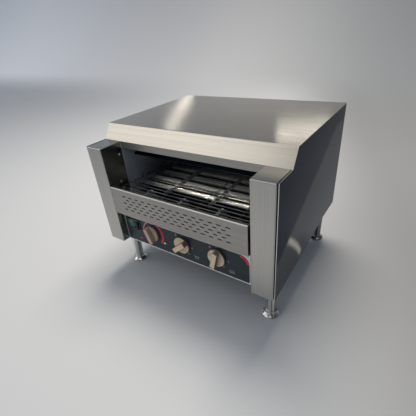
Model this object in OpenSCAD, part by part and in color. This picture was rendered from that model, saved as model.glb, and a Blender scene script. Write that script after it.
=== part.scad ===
// Conveyor toaster: slices ride a wire belt between two banks of quartz heaters.
// Millimetres. X runs to the right, Y to the back and Z up from the floor.
// The origin is on the floor, midway between the sides and midway front to back.
// Pieces are drawn with Y measured from the front posts; placed() shifts them into the frame.

/* [Body] */
// Overall width across the side panels
body_w = 475; // [450:1:510]
// Overall depth, from the posts' front to the heads of the rear screws
body_d = 410; // [402:1:450]
// Height of the casing, from the base plate's underside to the hood top
casing_h = 270; // [262:1:300]
// Height of the legs with their feet, up to the base plate
leg_h = 121; // [95:1:140]
// Sheet steel thickness of the casing
sheet = 1.2; // [0.8:0.1:1.5]
// How far the skirts hang below the base plate at the front
skirt_drop = 20; // [12:1:24]
// How far the side panels and the rear panel hang below the base plate at the back
rear_drop = 3; // [2:1:8]
// Distance from the back at which the side panels' lower edge reaches the base plate
knee_inset = 98; // [60:1:140]
// Height of the heads of the casing's screws
screw_head_h = 2; // [1.6:0.1:2.6]

/* [Posts and hood] */
// Width of each front post
post_w = 48; // [44:1:52]
// Depth of each front post
post_d = 60; // [56:1:70]
// Gap between a post and the side panel beside it
panel_gap = 1.8; // [1:0.1:4]
// How far the side panels' front edge sits behind the posts
panel_set_in = 3.5; // [2:0.5:8]
// Height of the hood's slanted lip
lip_rise = 34; // [28:1:38]
// How far the lip leans back
lip_slant = 22; // [14:1:30]
// Height of the hood's rear flange
hood_flange = 20; // [12:1:28]
// Height of the strip across the top of the opening
header_h = 17; // [12:1:22]
// Depth of that strip's lower fold
header_fold = 18; // [10:1:24]

/* [Conveyor] */
// Spacing of the belt's wires
belt_pitch = 12.7; // [12.3:0.1:13.2]
// Least distance between the rear shaft and the back, where the toast falls
rear_room = 63; // [56:1:72]
// Thickness of the belt's wire
wire_d = 2.2; // [2:0.1:3]
// Width of one lane, between two rows of wire joints
lane_w = 98.5; // [88:0.5:108]
// Clearance between the belt's edge and the chamber
belt_side_gap = 8.7; // [6:0.1:14]
// Distance of the front shaft behind the posts' front
front_axis_y = 39; // [38:0.5:44]
// Height of both shafts above the base plate's underside
axis_h = 106; // [105:0.5:112]
// Diameter of the two belt shafts
shaft_d = 10; // [8:0.5:12]
// Width of a sprocket
sprocket_w = 5; // [4:0.5:8]
// Spacing of the rails under the belt's top run
rail_spacing = 124; // [110:1:135]

/* [Heaters] */
// Outer diameter of a quartz tube
tube_d = 11; // [10:0.5:12]
// Spacing of the tubes in a bank
tube_pitch = 37; // [30:1:40]
// Tubes in each bank
tube_count = 4; // [3:1:4]
// Distance of the first tube behind the posts' front
first_tube_y = 121; // [115:1:128]
// How far the lower tubes lie below the shafts
lower_tube_drop = 5; // [3:0.5:6]
// How far the upper tubes lie below the posts' top
upper_tube_drop = 45; // [38:1:52]

/* [Guard] */
// Height of the perforated front guard
guard_h = 70; // [66:1:71]
// How far the guard rises above the belt's wires
guard_rise = 11; // [8:0.5:14]
// Distance of the guard behind the posts' front
guard_set_in = 1.3; // [0.5:0.1:3]
// Depth of the guard's folded top edge
guard_fold = 9; // [5:0.5:10]
// Gap between the guard and the right post
guard_gap = 4.7; // [3:0.1:6]
// Length of a guard slot
slot_l = 10.4; // [7:0.2:13]
// Height of a guard slot
slot_h = 2.6; // [1.8:0.2:4]
// Spacing of the slots along a row
slot_pitch = 20.3; // [18:0.1:22]
// Spacing of the rows of slots
slot_row_pitch = 8.5; // [7:0.1:10]
// Slots in a full row
slots_per_row = 15; // [9:2:15]
// Rows of slots
slot_rows = 5; // [3:2:5]

/* [Controls] */
// Distance of the control panel behind the posts' front
panel_y = 21.5; // [20:0.5:24]
// Height of the control panel above the skirts' lower edge
panel_h = 77; // [74:0.5:78]
// Thickness of the printed film on the panel
film_t = 0.4; // [0.2:0.1:0.6]
// Radius of the film's big corner
film_corner_r = 20; // [12:1:30]
// Bare steel left of the film
film_left_margin = 2.5; // [2:0.5:5]
// Bare steel right of the film
film_right_margin = 13; // [8:0.5:20]
// Bare steel above the film
film_top_margin = 6; // [2:0.5:7]
// Diameter of a knob's skirt
knob_d = 43; // [36:1:46]
// Thickness of a knob's skirt
knob_skirt_t = 5.8; // [4:0.2:7]
// Width of a knob's grip
grip_w = 12; // [9:0.5:15]
// How far a grip stands out from the skirt
grip_h = 11.4; // [8:0.2:12]
// Height of the knobs above the skirts' lower edge
knob_up = 43; // [40:0.5:48]
// Distance of the first knob from the left post
first_knob_in = 92.5; // [90:0.5:98]
// Spacing of the knobs
knob_pitch = 95; // [88:1:100]
// Diameter of a knob's spindle
spindle_d = 6; // [5:0.5:7]
// Distance of the power switch from the left post
switch_in = 31.5; // [29:0.5:36]
// Height of the power switch above the skirts' lower edge
switch_up = 53; // [48:0.5:54]
// Length of the power rocker
rocker_l = 34; // [30:1:38]
// Width of the power rocker
rocker_w = 23.6; // [20:0.2:25]
// Tilt of the rocker to either side
rocker_tilt = 8; // [5:0.5:10]

/* [Legs] */
// Radius of a leg at its top
leg_top_r = 13.5; // [11:0.5:16]
// Radius of a leg at its lower end
leg_low_r = 11.5; // [10:0.5:13]
// Radius of a leg's mounting plate
leg_plate_r = 19; // [16.5:0.5:20]
// Distance of the legs' centres from the side panels' outer face
leg_side_in = 30; // [27:0.5:32]
// Distance of the front legs behind the posts' front
leg_front_y = 55; // [54:1:62]
// Distance of the rear legs from the back
leg_rear_in = 23; // [22:1:40]
// Radius of a foot
foot_r = 19; // [15:0.5:22]
// Height of a foot's visible part
foot_h = 16; // [12:0.5:20]
// Diameter of a foot's stem
foot_stem_d = 16; // [12:0.5:17]

/* [Tray, slide and fan] */
// Height of the crumb tray
tray_h = 10; // [7:0.5:11]
// Gap between the crumb tray and the slide behind it
tray_end_gap = 15; // [6:1:40]
// Steel thickness of the tray
tray_t = 1; // [0.7:0.1:1.2]
// Height of the toast exit in the rear panel
exit_h = 122; // [100:1:128]
// Width of the square cooling fan
fan_w = 80; // [70:1:90]
// Thickness of the cooling fan
fan_t = 25; // [20:1:30]
// Blades on the fan's rotor
fan_blades = 7; // [5:1:9]
// Bore of the cable gland
gland_bore_d = 10; // [8:0.5:12]
// Distance of the cable gland from the rear panel
gland_rear_in = 90; // [70:1:140]

/* [Hidden] */
$fn = 48;

// Clearances
running_gap = 0.05;   // round running fit, each side
screw_gap = 0.1;      // screw in its hole, each side
air_gap = 0.3;        // pieces that pass or face each other
press_gap = 0.02;     // pieces held tight on a shaft, spindle or tube, each side

// Heights from the floor
base_z = leg_h;
base_top_z = base_z + sheet;
skirt_z = base_z - skirt_drop;
rear_skirt_z = base_z - rear_drop;
top_z = base_z + casing_h;
shelf_z = top_z - lip_rise;
panel_top_z = skirt_z + panel_h;

// Widths from the centre
panel_in_x = body_w / 2 - sheet;
post_out_x = panel_in_x - panel_gap;
opening_x = post_out_x - post_w;
wall_in_x = opening_x + sheet;
wall_out_x = wall_in_x + sheet;
side_mid_x = (wall_out_x + panel_in_x) / 2;

// Depths from the posts' front
back_y = body_d - screw_head_h;
rear_in_y = back_y - sheet;
lip_foot_y = post_d + 0.5;
lip_top_y = lip_foot_y + lip_slant;
lip_wall = sheet * norm([lip_rise, lip_slant]) / lip_rise;
lip_lean = lip_slant / lip_rise;
header_y = lip_foot_y + lip_wall + 0.6;
post_return = 15;
post_foot = 20;
wall_front_y = 14;
wall_top_z = top_z - 16;

// Conveyor
sprocket_teeth = 12;
belt_r = sprocket_teeth * belt_pitch / (2 * PI);
wire_r = wire_d / 2;
axis_z = base_z + axis_h;
belt_z = axis_z + belt_r;
belt_x = opening_x - belt_side_gap;
run_wires = floor((back_y - rear_room - front_axis_y) / belt_pitch);
rear_axis_y = front_axis_y + run_wires * belt_pitch;
wire_step = 360 / sprocket_teeth;
sprocket_floor_r = belt_r - wire_r - 0.35;
sprocket_tip_r = belt_r + 2.2;
tooth_root_w = 5;
tooth_tip_w = 3;
link_r = wire_r - 0.3;
joint_xs = [-belt_x + wire_d, -1.5 * lane_w, -lane_w / 2, lane_w / 2, 1.5 * lane_w, belt_x - wire_d];
sprocket_xs = [-lane_w, 0, lane_w];
hub_r = shaft_d / 2 + 5;
hub_w = sprocket_w + 7;
bush_r = shaft_d / 2 + 3;
bush_flange_r = bush_r + 3;
bush_flange_t = 2;
shaft_end_x = wall_out_x + 7;
rail_h = 9;
rail_w = 2;
rail_top_z = belt_z - wire_r - 0.4;
support_bar_r = 3;
support_bar_z = rail_top_z - rail_h - support_bar_r;
support_bar_ys = [first_tube_y - 26.5, rear_axis_y - 44];

// Heaters
tube_r = tube_d / 2;
tube_end_x = wall_out_x + 7;
lower_tube_z = axis_z - lower_tube_drop;
upper_tube_z = shelf_z - upper_tube_drop;
tube_ys = [for (i = [0 : tube_count - 1]) first_tube_y + i * tube_pitch];
last_tube_y = first_tube_y + (tube_count - 1) * tube_pitch;
cap_r = tube_r + 2;
cap_l = 9;
reflector_t = 1;
reflector_side = 20;
lower_reflector_z = axis_z - belt_r + wire_r + 3;
upper_reflector_z = upper_tube_z + tube_r + 14;

// Guard
guard_top_z = belt_z + guard_rise;
guard_low_z = guard_top_z - guard_h;
guard_left_x = -opening_x;
guard_right_x = opening_x - guard_gap;
guard_mid_x = (guard_left_x + guard_right_x) / 2;
guard_end_d = 28;
guard_low_fold = 7;
slots_up = 1.4;
dimple_r = 5;

// Controls
panel_back_y = panel_y + sheet;
panel_x = opening_x - 0.2;
panel_fold = 14;
film_left_x = -opening_x + film_left_margin;
film_right_x = opening_x - film_right_margin;
film_low_z = skirt_z + sheet;
film_top_z = panel_top_z - film_top_margin;
film_small_r = 3;
knob_z = skirt_z + knob_up;
knob_xs = [for (i = [0 : 2]) -opening_x + first_knob_in + i * knob_pitch];
knob_turns = [-21, 49, 14];
knob_r = knob_d / 2;
knob_back_y = panel_y - film_t - 0.9;
knob_face_y = knob_back_y - knob_skirt_t;
grip_y = knob_face_y - grip_h;
spindle_r = spindle_d / 2;
spindle_front_y = grip_y + 4;
spindle_back_y = panel_back_y + 22;
bushing_r = spindle_r + 2;
heat_switch_w = 40;
heat_switch_d = 34;
speed_case_r = 13;
speed_case_d = 14;
board_w = 52;
board_h = 44;
board_t = 1.6;
capacitor_w = 14;
capacitor_h = 12;
switch_x = -opening_x + switch_in;
switch_z = skirt_z + switch_up;
rocker_half = rocker_l / 2;
rocker_pocket_x = rocker_half + 1.1;
rocker_pocket_z = rocker_w / 2 + 0.3;
switch_wall = 1.8;
bezel_over = 1.2;
bezel_t = 1.8;
rocker_axis_y = panel_y + 2.5;
rocker_pin_r = 1.5;
switch_case_d = 24;
switch_terminal_xs = [-10, 0, 10];
heat_terminal_xs = [-12, -4, 4, 12];
terminal_w = 5;
terminal_l = 8;
terminal_t = 0.8;

// Tray, shield and slide
shield_z = panel_top_z;
shield_top_z = shield_z + sheet;
shield_back_y = rear_axis_y + 6;
tray_z = shield_top_z + air_gap;
tray_x = opening_x - 6.5;
tray_front_y = panel_back_y + air_gap;
tray_l = shield_back_y - tray_end_gap - tray_front_y;
tray_lip = 7;
tray_lip_x = 60;
exit_x = opening_x - 6;
exit_z = base_z + 17;
exit_corner_r = 6;
louvre_l = 24;
louvre_h = 3;
louvre_pitch = 9;
top_louvre_l = 14;
top_louvre_pitch = 20;
slide_top = [shield_back_y + 2, axis_z - belt_r - wire_r - 5];
slide_end = [rear_in_y - 0.4, exit_z + 1];

// Drive
gearbox_w = 31;
gearbox_d = 60;
gearbox_h = 56;
gearbox_x = wall_out_x + bush_flange_t + 2.3;
boss_r = 4;
boss_y = gearbox_d / 2 - 6;
boss_z = gearbox_h / 2 - 6;
motor_w = 24;
motor_d = 50;
motor_h = 46;
coil_r = 10;

// Fan, terminal block and gland
fan_y = body_d / 2;
fan_bore_r = fan_w / 2 - 2;
fan_hub_r = 15.5;
fan_axle_r = 1.5;
fan_stator_t = 4;
fan_strut_w = 4;
fan_hole_in = 4.3;
fan_blade_t = 1.2;
fan_blade_w = 18;
fan_blade_pitch = 38;
vent_hole_r = 3.2;
vent_pitch = 10;
vent_rings = 3.3;
block_size = [60, 24, 18];
block_at = [-wall_in_x + 47, rear_in_y - 107];
block_ways = 4;
block_well_r = 3;
gland_at = [-opening_x - 18, rear_in_y - gland_rear_in];
gland_thread_r = gland_bore_d / 2 + 4;
gland_body_r = gland_thread_r + 3;
gland_body_h = 5;
gland_dome_h = 11;
gland_nut_h = 4;

// Legs and fasteners
leg_x = body_w / 2 - leg_side_in;
leg_rear_y = body_d - leg_rear_in;
leg_plate_t = 3;
leg_stud_r = 4;
leg_stud_l = 10;
stem_l = 18;
foot_pad_h = 3;
foot_shoulder_h = 6;
nut_r = 7.5;
nut_h = 6;
screw_r = 2;
screw_head_r = 3.6;
rear_screw_zs = [rear_skirt_z + 24, (rear_skirt_z + top_z) / 2, top_z - hood_flange - 16];
rear_screw_x = panel_in_x - 7;
rear_flange_w = 14;
wall_bolt_at = [[post_d - 8.5, shelf_z - 30], [front_axis_y - 1.6, guard_top_z - 1]];
guard_screw_y = guard_set_in + 20;
guard_screw_in = 12;
guard_screw_zs = [guard_low_z + guard_screw_in, guard_top_z - guard_screw_in];

// Moves a piece drawn from the posts' front into the frame
module placed() translate([0, -body_d / 2, 0]) children();

// Plate across the toaster, drawn as [x, z], from y to the back by its thickness
module upright(y, thick) translate([0, y + thick, 0]) rotate([90, 0, 0]) linear_extrude(thick) children();

// Plate parallel to the sides, drawn as [y, z], from x to the right by its thickness
module fin(x, thick) translate([x, 0, 0]) rotate([90, 0, 90]) linear_extrude(thick) children();

// Level plate drawn as [x, y], from z upwards by its thickness
module level(z, thick) translate([0, 0, z]) linear_extrude(thick) children();

// Box between two corners
module span(low, high) translate(low) cube(high - low);

// Round bars along the three axes
module rod_x(x0, x1, y, z, r) translate([x0, y, z]) rotate([0, 90, 0]) cylinder(h = x1 - x0, r = r);
module rod_y(y0, y1, x, z, r) translate([x, y0, z]) rotate([-90, 0, 0]) cylinder(h = y1 - y0, r = r);
module rod_z(z0, z1, x, y, r) translate([x, y, z0]) cylinder(h = z1 - z0, r = r);

// Rectangle with round corners, from corner to corner
module round_rect(low, high, r) {
    translate([low[0] + r, low[1]]) square([high[0] - low[0] - 2 * r, high[1] - low[1]]);
    translate([low[0], low[1] + r]) square([high[0] - low[0], high[1] - low[1] - 2 * r]);
    for (x = [low[0] + r, high[0] - r], z = [low[1] + r, high[1] - r]) translate([x, z]) circle(r = r);
}

// Stadium-shaped slot along the first axis
module slot(l, h) {
    square([l - h, h], center = true);
    for (s = [-1, 1]) translate([s * (l - h) / 2, 0]) circle(r = h / 2, $fn = 24);
}

// Pan-head screw whose head sits on the plane x = 0 and whose shank runs towards +X
module pan_screw(l) {
    rotate([0, -90, 0]) cylinder(h = screw_head_h, r1 = screw_head_r, r2 = screw_head_r - 0.8);
    rotate([0, 90, 0]) cylinder(h = l, r = screw_r);
}

// Hole for a pan-head screw along X
module screw_hole_x(x0, x1, y, z) rod_x(x0, x1, y, z, screw_r + screw_gap);

// ---- Casing ----

// Outline of a side panel as [y, z]; its slanted front corner runs under the hood's lip
module side_outline() polygon([
    [panel_set_in, skirt_z],
    [body_d - knee_inset, base_z],
    [rear_in_y, rear_skirt_z],
    [rear_in_y, top_z - sheet],
    [lip_foot_y + lip_wall + (lip_rise - sheet) * lip_lean, top_z - sheet],
    [lip_foot_y + lip_wall, shelf_z],
    [panel_set_in, shelf_z]
]);

// Side panel with the flange that takes the rear screws, on the right side
module side_panel() {
    fin(panel_in_x, sheet) side_outline();
    difference() {
        span([panel_in_x - rear_flange_w, rear_in_y - sheet, base_top_z + 2],
             [panel_in_x, rear_in_y, top_z - hood_flange - 4]);
        for (z = rear_screw_zs)
            rod_y(rear_in_y - 2 * sheet, rear_in_y + sheet, rear_screw_x, z, screw_r + screw_gap);
    }
}

module left_side_panel() color("darkgray") placed() mirror([1, 0, 0]) side_panel();
module right_side_panel() color("darkgray") placed() side_panel();

// Folded front post on the right side: front, top, inner side, outer return and lower return
module post() difference() {
    union() {
        span([opening_x, 0, skirt_z], [post_out_x, sheet, shelf_z]);
        span([opening_x, 0, shelf_z - sheet], [post_out_x, post_d, shelf_z]);
        fin(opening_x, sheet) polygon([
            [0, skirt_z], [panel_back_y, skirt_z], [panel_back_y, base_top_z],
            [post_d - 1, base_top_z], [post_d - 1, shelf_z], [0, shelf_z]
        ]);
        span([post_out_x - sheet, 0, skirt_z], [post_out_x, post_return, shelf_z]);
        span([opening_x, 0, skirt_z], [post_out_x, post_foot, skirt_z + sheet]);
    }
    rod_x(opening_x - 1, wall_in_x + 1, front_axis_y, axis_z, bush_r);
    for (p = wall_bolt_at) screw_hole_x(opening_x - 1, wall_in_x + 1, p[0], p[1]);
    for (z = guard_screw_zs) screw_hole_x(opening_x - 1, wall_in_x + 1, guard_screw_y, z);
}

module left_post() color("silver") placed() mirror([1, 0, 0]) post();
module right_post() color("silver") placed() post();

// Chamber wall on the right side, pierced for the shafts, tubes, bars, bolts and guard screws
module chamber_wall() difference() {
    fin(wall_in_x, sheet) polygon([
        [wall_front_y, base_top_z],
        [wall_front_y, shelf_z - sheet - air_gap],
        [lip_foot_y, shelf_z - sheet - air_gap],
        [lip_top_y + 10, wall_top_z],
        [rear_in_y - sheet - air_gap, wall_top_z],
        [rear_in_y - sheet - air_gap, base_top_z]
    ]);
    for (y = [front_axis_y, rear_axis_y]) rod_x(wall_in_x - 1, wall_out_x + 1, y, axis_z, bush_r);
    for (y = tube_ys, z = [lower_tube_z, upper_tube_z])
        rod_x(wall_in_x - 1, wall_out_x + 1, y, z, tube_r + 0.5);
    for (y = support_bar_ys)
        rod_x(wall_in_x - 1, wall_out_x + 1, y, support_bar_z, support_bar_r + running_gap);
    for (p = wall_bolt_at) screw_hole_x(wall_in_x - 1, wall_out_x + 1, p[0], p[1]);
    for (z = guard_screw_zs) screw_hole_x(wall_in_x - 1, wall_out_x + 1, guard_screw_y, z);
}

module left_chamber_wall() color("dimgray") placed() mirror([1, 0, 0]) chamber_wall();
module right_chamber_wall() color("dimgray") placed() difference() {
    chamber_wall();
    for (s = [-1, 1], t = [-1, 1])
        screw_hole_x(wall_in_x - 1, wall_out_x + 1, rear_axis_y + s * boss_y, axis_z + t * boss_z);
}

// Hood folded from one sheet: slanted lip, flat top and rear flange
module hood_cover() color("gainsboro") placed() fin(-body_w / 2, body_w) polygon([
    [lip_foot_y, shelf_z],
    [lip_top_y, top_z],
    [back_y, top_z],
    [back_y, top_z - hood_flange],
    [rear_in_y, top_z - hood_flange],
    [rear_in_y, top_z - sheet],
    [lip_foot_y + lip_wall + (lip_rise - sheet) * lip_lean, top_z - sheet],
    [lip_foot_y + lip_wall, shelf_z]
]);

// Strip across the top of the opening, with its lower fold and end tabs
module opening_header() color("silver") placed() {
    low = shelf_z - header_h;
    span([-wall_in_x, header_y, low], [wall_in_x, header_y + sheet, shelf_z]);
    span([-wall_in_x, header_y, low], [wall_in_x, header_y + header_fold, low + sheet]);
    for (x = [-wall_in_x, wall_in_x - sheet])
        span([x, header_y, low], [x + sheet, header_y + header_fold, shelf_z - 2]);
}

// Rear panel with the toast exit and cooling louvres for both side compartments
module rear_panel() color("darkgray") placed() difference() {
    upright(rear_in_y, sheet) difference() {
        translate([-body_w / 2, rear_skirt_z]) square([body_w, top_z - hood_flange - air_gap - rear_skirt_z]);
        round_rect([-exit_x, exit_z], [exit_x, exit_z + exit_h], exit_corner_r);
        for (s = [-1, 1], i = [0 : 5])
            translate([s * (side_mid_x - 4), exit_z + 40 + i * louvre_pitch]) slot(louvre_l, louvre_h);
        for (i = [-8 : 8])
            translate([i * top_louvre_pitch, (exit_z + exit_h + top_z - hood_flange) / 2])
                slot(top_louvre_l, louvre_h);
    }
    for (s = [-1, 1], z = rear_screw_zs)
        rod_y(rear_in_y - 1, back_y + 1, s * rear_screw_x, z, screw_r + screw_gap);
}

// Base plate with the fan's vent holes, the legs' stud holes and the gland's hole
module base_plate() color("gray") placed() difference() {
    span([-panel_in_x, panel_back_y + air_gap, base_z], [panel_in_x, rear_in_y, base_top_z]);
    for (i = [-3 : 3], j = [-3 : 3])
        if (norm([i + 0.5 * (j % 2), j * 0.866]) < vent_rings)
            rod_z(base_z - 1, base_top_z + 1, (i + 0.5 * (j % 2)) * vent_pitch,
                  fan_y + j * 0.866 * vent_pitch, vent_hole_r);
    for (x = [-leg_x, leg_x], y = [leg_front_y, leg_rear_y])
        rod_z(base_z - 1, base_top_z + 1, x, y, leg_stud_r + screw_gap);
    rod_z(base_z - 1, base_top_z + 1, gland_at[0], gland_at[1], gland_thread_r + screw_gap);
}

// ---- Front guard and controls ----

// Slots of the guard, drawn as [x, z]; every second row is shifted by half a pitch
module guard_slots() for (row = [0 : slot_rows - 1]) {
    count = slots_per_row - row % 2;
    z = (guard_low_z + guard_top_z) / 2 + (row - (slot_rows - 1) / 2) * slot_row_pitch + slots_up;
    for (i = [0 : count - 1])
        translate([guard_mid_x + (i - (count - 1) / 2) * slot_pitch, z]) slot(slot_l, slot_h);
}

// Perforated guard with folded edges; dimples on its right end hold it off the post
module front_guard() color("silver") placed() difference() {
    union() {
        upright(guard_set_in, sheet) difference() {
            translate([guard_left_x, guard_low_z]) square([guard_right_x - guard_left_x, guard_h]);
            guard_slots();
        }
        span([guard_left_x, guard_set_in, guard_top_z - sheet],
             [guard_right_x, guard_set_in + guard_fold, guard_top_z]);
        span([guard_left_x, guard_set_in, guard_low_z],
             [guard_right_x, guard_set_in + guard_low_fold, guard_low_z + sheet]);
        for (x = [guard_left_x, guard_right_x - sheet])
            span([x, guard_set_in, guard_low_z], [x + sheet, guard_set_in + guard_end_d, guard_top_z]);
        for (z = guard_screw_zs) rod_x(guard_right_x - 0.5, opening_x, guard_screw_y, z, dimple_r);
    }
    for (z = guard_screw_zs) {
        screw_hole_x(guard_right_x - 2 * sheet, opening_x + 1, guard_screw_y, z);
        screw_hole_x(guard_left_x - 1, guard_left_x + 2 * sheet, guard_screw_y, z);
    }
}

// Cut-outs shared by the control panel and its film, drawn as [x, z]
module control_cutouts() {
    for (x = knob_xs) translate([x, knob_z]) circle(r = bushing_r + screw_gap);
    translate([switch_x - rocker_pocket_x - switch_wall - screw_gap,
               switch_z - rocker_pocket_z - switch_wall - screw_gap])
        square([2 * (rocker_pocket_x + switch_wall + screw_gap),
                2 * (rocker_pocket_z + switch_wall + screw_gap)]);
}

// Control panel: face, lower return that meets the base plate, and top fold under the shield
module control_panel() color("silver") placed() {
    upright(panel_y, sheet) difference() {
        translate([-panel_x, skirt_z]) square([2 * panel_x, panel_h]);
        control_cutouts();
    }
    span([-panel_x, panel_y, skirt_z], [panel_x, panel_y + panel_fold, skirt_z + sheet]);
    span([-panel_x, panel_y + panel_fold - sheet, skirt_z], [panel_x, panel_y + panel_fold, base_z]);
    span([-panel_x, panel_y, panel_top_z - sheet], [panel_x, panel_y + panel_fold, panel_top_z]);
}

// Printed film on the control panel, with one big round corner
module control_film() color("darkslategray") placed() upright(panel_y - film_t, film_t) difference() {
    union() {
        round_rect([film_left_x, film_low_z], [film_right_x, film_top_z - film_corner_r], film_small_r);
        round_rect([film_left_x, film_low_z], [film_right_x - film_corner_r, film_top_z], film_small_r);
        translate([film_right_x - film_corner_r, film_top_z - film_corner_r])
            circle(r = film_corner_r, $fn = 96);
        translate([film_right_x - 2 * film_corner_r, film_low_z + film_small_r])
            square([film_corner_r, film_top_z - film_low_z - 2 * film_small_r]);
    }
    control_cutouts();
}

// Spade terminal standing out of a switch case's back at [x, y]
module terminal(x, y)
    span([x - terminal_w / 2, y - 1, -terminal_t / 2], [x + terminal_w / 2, y + terminal_l, terminal_t / 2]);

// Power switch: bezel, case behind the panel and the pocket that the rocker swings in
module power_switch() color("black") placed() translate([switch_x, 0, switch_z]) difference() {
    case_x = rocker_pocket_x + switch_wall;
    case_z = rocker_pocket_z + switch_wall;
    film_y = panel_y - film_t;
    union() {
        span([-case_x - bezel_over, film_y - bezel_t, -case_z - bezel_over],
             [case_x + bezel_over, film_y, case_z + bezel_over]);
        span([-case_x, film_y - bezel_t, -case_z], [case_x, panel_back_y + switch_case_d, case_z]);
        for (x = switch_terminal_xs) terminal(x, panel_back_y + switch_case_d);
    }
    span([-rocker_pocket_x, film_y - bezel_t - 1, -rocker_pocket_z],
         [rocker_pocket_x, rocker_axis_y + 9, rocker_pocket_z]);
    rod_z(-rocker_pocket_z - 1.4, rocker_pocket_z + 1.4, 0, rocker_axis_y, rocker_pin_r + running_gap);
}

// Rocker with its hub and pins, turned to the tilt it rests at
module power_rocker() color("seagreen") placed()
    translate([switch_x, rocker_axis_y, switch_z]) rotate([0, 0, -rocker_tilt]) {
        translate([0, 0, -rocker_w / 2]) linear_extrude(rocker_w) polygon([
            [-rocker_half, -6], [0, -3.6], [rocker_half, -6], [rocker_half, -2], [-rocker_half, -2]
        ]);
        rod_z(-rocker_w / 2, rocker_w / 2, 0, 0, 4);
        rod_z(-rocker_pocket_z - 1.2, rocker_pocket_z + 1.2, 0, 0, rocker_pin_r);
    }

// Knob with a round skirt and a bar grip; it fits over the end of its spindle
module knob(i) color("tan") placed() translate([knob_xs[i], 0, knob_z]) rotate([0, knob_turns[i], 0])
    difference() {
        union() {
            rod_y(knob_face_y + 1, knob_back_y, 0, 0, knob_r);
            translate([0, knob_face_y + 1, 0]) rotate([90, 0, 0])
                cylinder(h = 1, r1 = knob_r, r2 = knob_r - 1);
            intersection() {
                rod_y(grip_y, knob_back_y - 1, 0, 0, knob_r - 0.5);
                span([-grip_w / 2, grip_y, -knob_r], [grip_w / 2, knob_back_y, knob_r]);
            }
        }
        rod_y(spindle_front_y - 0.2, knob_back_y + 1, 0, 0, spindle_r + press_gap);
    }

module speed_knob() knob(0);
module top_heat_knob() knob(1);
module bottom_heat_knob() knob(2);

// Spindle with the flat that the knob's grub screw bears on
module spindle(i) color("lightgray") placed() translate([knob_xs[i], 0, knob_z])
    rotate([0, knob_turns[i], 0]) difference() {
        rod_y(spindle_front_y, spindle_back_y, 0, 0, spindle_r);
        span([spindle_r - 0.8, spindle_front_y - 1, -spindle_r],
             [spindle_r + 1, knob_back_y - 1, spindle_r]);
    }

module speed_spindle() spindle(0);
module top_heat_spindle() spindle(1);
module bottom_heat_spindle() spindle(2);

// Speed control: round case with its bushing, and the circuit board behind it
module speed_control() color("darkgreen") placed() translate([knob_xs[0], 0, knob_z]) difference() {
    board_y = panel_back_y + speed_case_d;
    union() {
        rod_y(panel_y + 0.2, panel_back_y, 0, 0, bushing_r);
        rod_y(panel_back_y, panel_back_y + speed_case_d, 0, 0, speed_case_r);
        span([-board_w / 2, board_y, board_w / 2 - board_h],
             [board_w / 2, board_y + board_t, board_w / 2]);
        translate([board_w / 2 - capacitor_w - 4, board_y + board_t - 0.1, board_w / 2 - capacitor_w - 4])
            cube([capacitor_w, capacitor_h + 0.1, capacitor_w]);
        rod_y(board_y + board_t, spindle_back_y + 2, 0, 0, bushing_r);
    }
    rod_y(panel_y, spindle_back_y + 0.4, 0, 0, spindle_r + running_gap);
}

// Rotary heat switch: square case, bushing and spade terminals
module heat_switch(i) color("ivory") placed() translate([knob_xs[i], 0, knob_z]) difference() {
    half = heat_switch_w / 2;
    union() {
        rod_y(panel_y + 0.2, panel_back_y, 0, 0, bushing_r);
        span([-half, panel_back_y, -half], [half, panel_back_y + heat_switch_d, half]);
        for (x = heat_terminal_xs) terminal(x, panel_back_y + heat_switch_d);
    }
    rod_y(panel_y, spindle_back_y + 0.4, 0, 0, spindle_r + running_gap);
}

module top_heat_switch() heat_switch(1);
module bottom_heat_switch() heat_switch(2);

// ---- Heaters ----

// Folded reflector as [y, z]: flat middle and slanted sides that point up or down
module reflector_profile(z, side) {
    y0 = first_tube_y - 24;
    y1 = last_tube_y + 24;
    polygon([
        [y0, z + side], [y0 + abs(side), z], [y1 - abs(side), z], [y1, z + side],
        [y1, z + side + reflector_t], [y1 - abs(side), z + reflector_t],
        [y0 + abs(side), z + reflector_t], [y0, z + side + reflector_t]
    ]);
}

module upper_reflector() color("lightgray") placed() fin(-wall_in_x, 2 * wall_in_x)
    reflector_profile(upper_reflector_z, -reflector_side);
module lower_reflector() color("lightgray") placed() fin(-wall_in_x, 2 * wall_in_x)
    reflector_profile(lower_reflector_z, 6);

// Quartz tubes of one bank
module element_bank(z) for (y = tube_ys) rod_x(-tube_end_x, tube_end_x, y, z, tube_r);

module upper_elements() color("antiquewhite") placed() element_bank(upper_tube_z);
module lower_elements() color("antiquewhite") placed() element_bank(lower_tube_z);

// Ceramic caps that carry the tube ends outside the chamber walls
module element_caps() color("white") placed()
    for (s = [0, 1]) mirror([s, 0, 0]) for (y = tube_ys, z = [lower_tube_z, upper_tube_z]) difference() {
        rod_x(wall_out_x, wall_out_x + cap_l, y, z, cap_r);
        rod_x(wall_out_x - 1, tube_end_x + 0.2, y, z, tube_r + press_gap);
    }

// ---- Conveyor ----

module drive_shaft() color("silver") placed()
    rod_x(-shaft_end_x, gearbox_x + gearbox_w - 2, rear_axis_y, axis_z, shaft_d / 2);
module idler_shaft() color("silver") placed()
    rod_x(-shaft_end_x, shaft_end_x, front_axis_y, axis_z, shaft_d / 2);

// Sprocket whose teeth stand midway between the belt's wires, as [y, z]
module sprocket_profile() difference() {
    union() {
        circle(r = sprocket_floor_r, $fn = 96);
        for (i = [0 : sprocket_teeth - 1]) rotate(i * wire_step) polygon([
            [sprocket_floor_r - 2, -tooth_root_w / 2], [sprocket_tip_r, -tooth_tip_w / 2],
            [sprocket_tip_r, tooth_tip_w / 2], [sprocket_floor_r - 2, tooth_root_w / 2]
        ]);
    }
    circle(r = shaft_d / 2 + press_gap);
}

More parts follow.
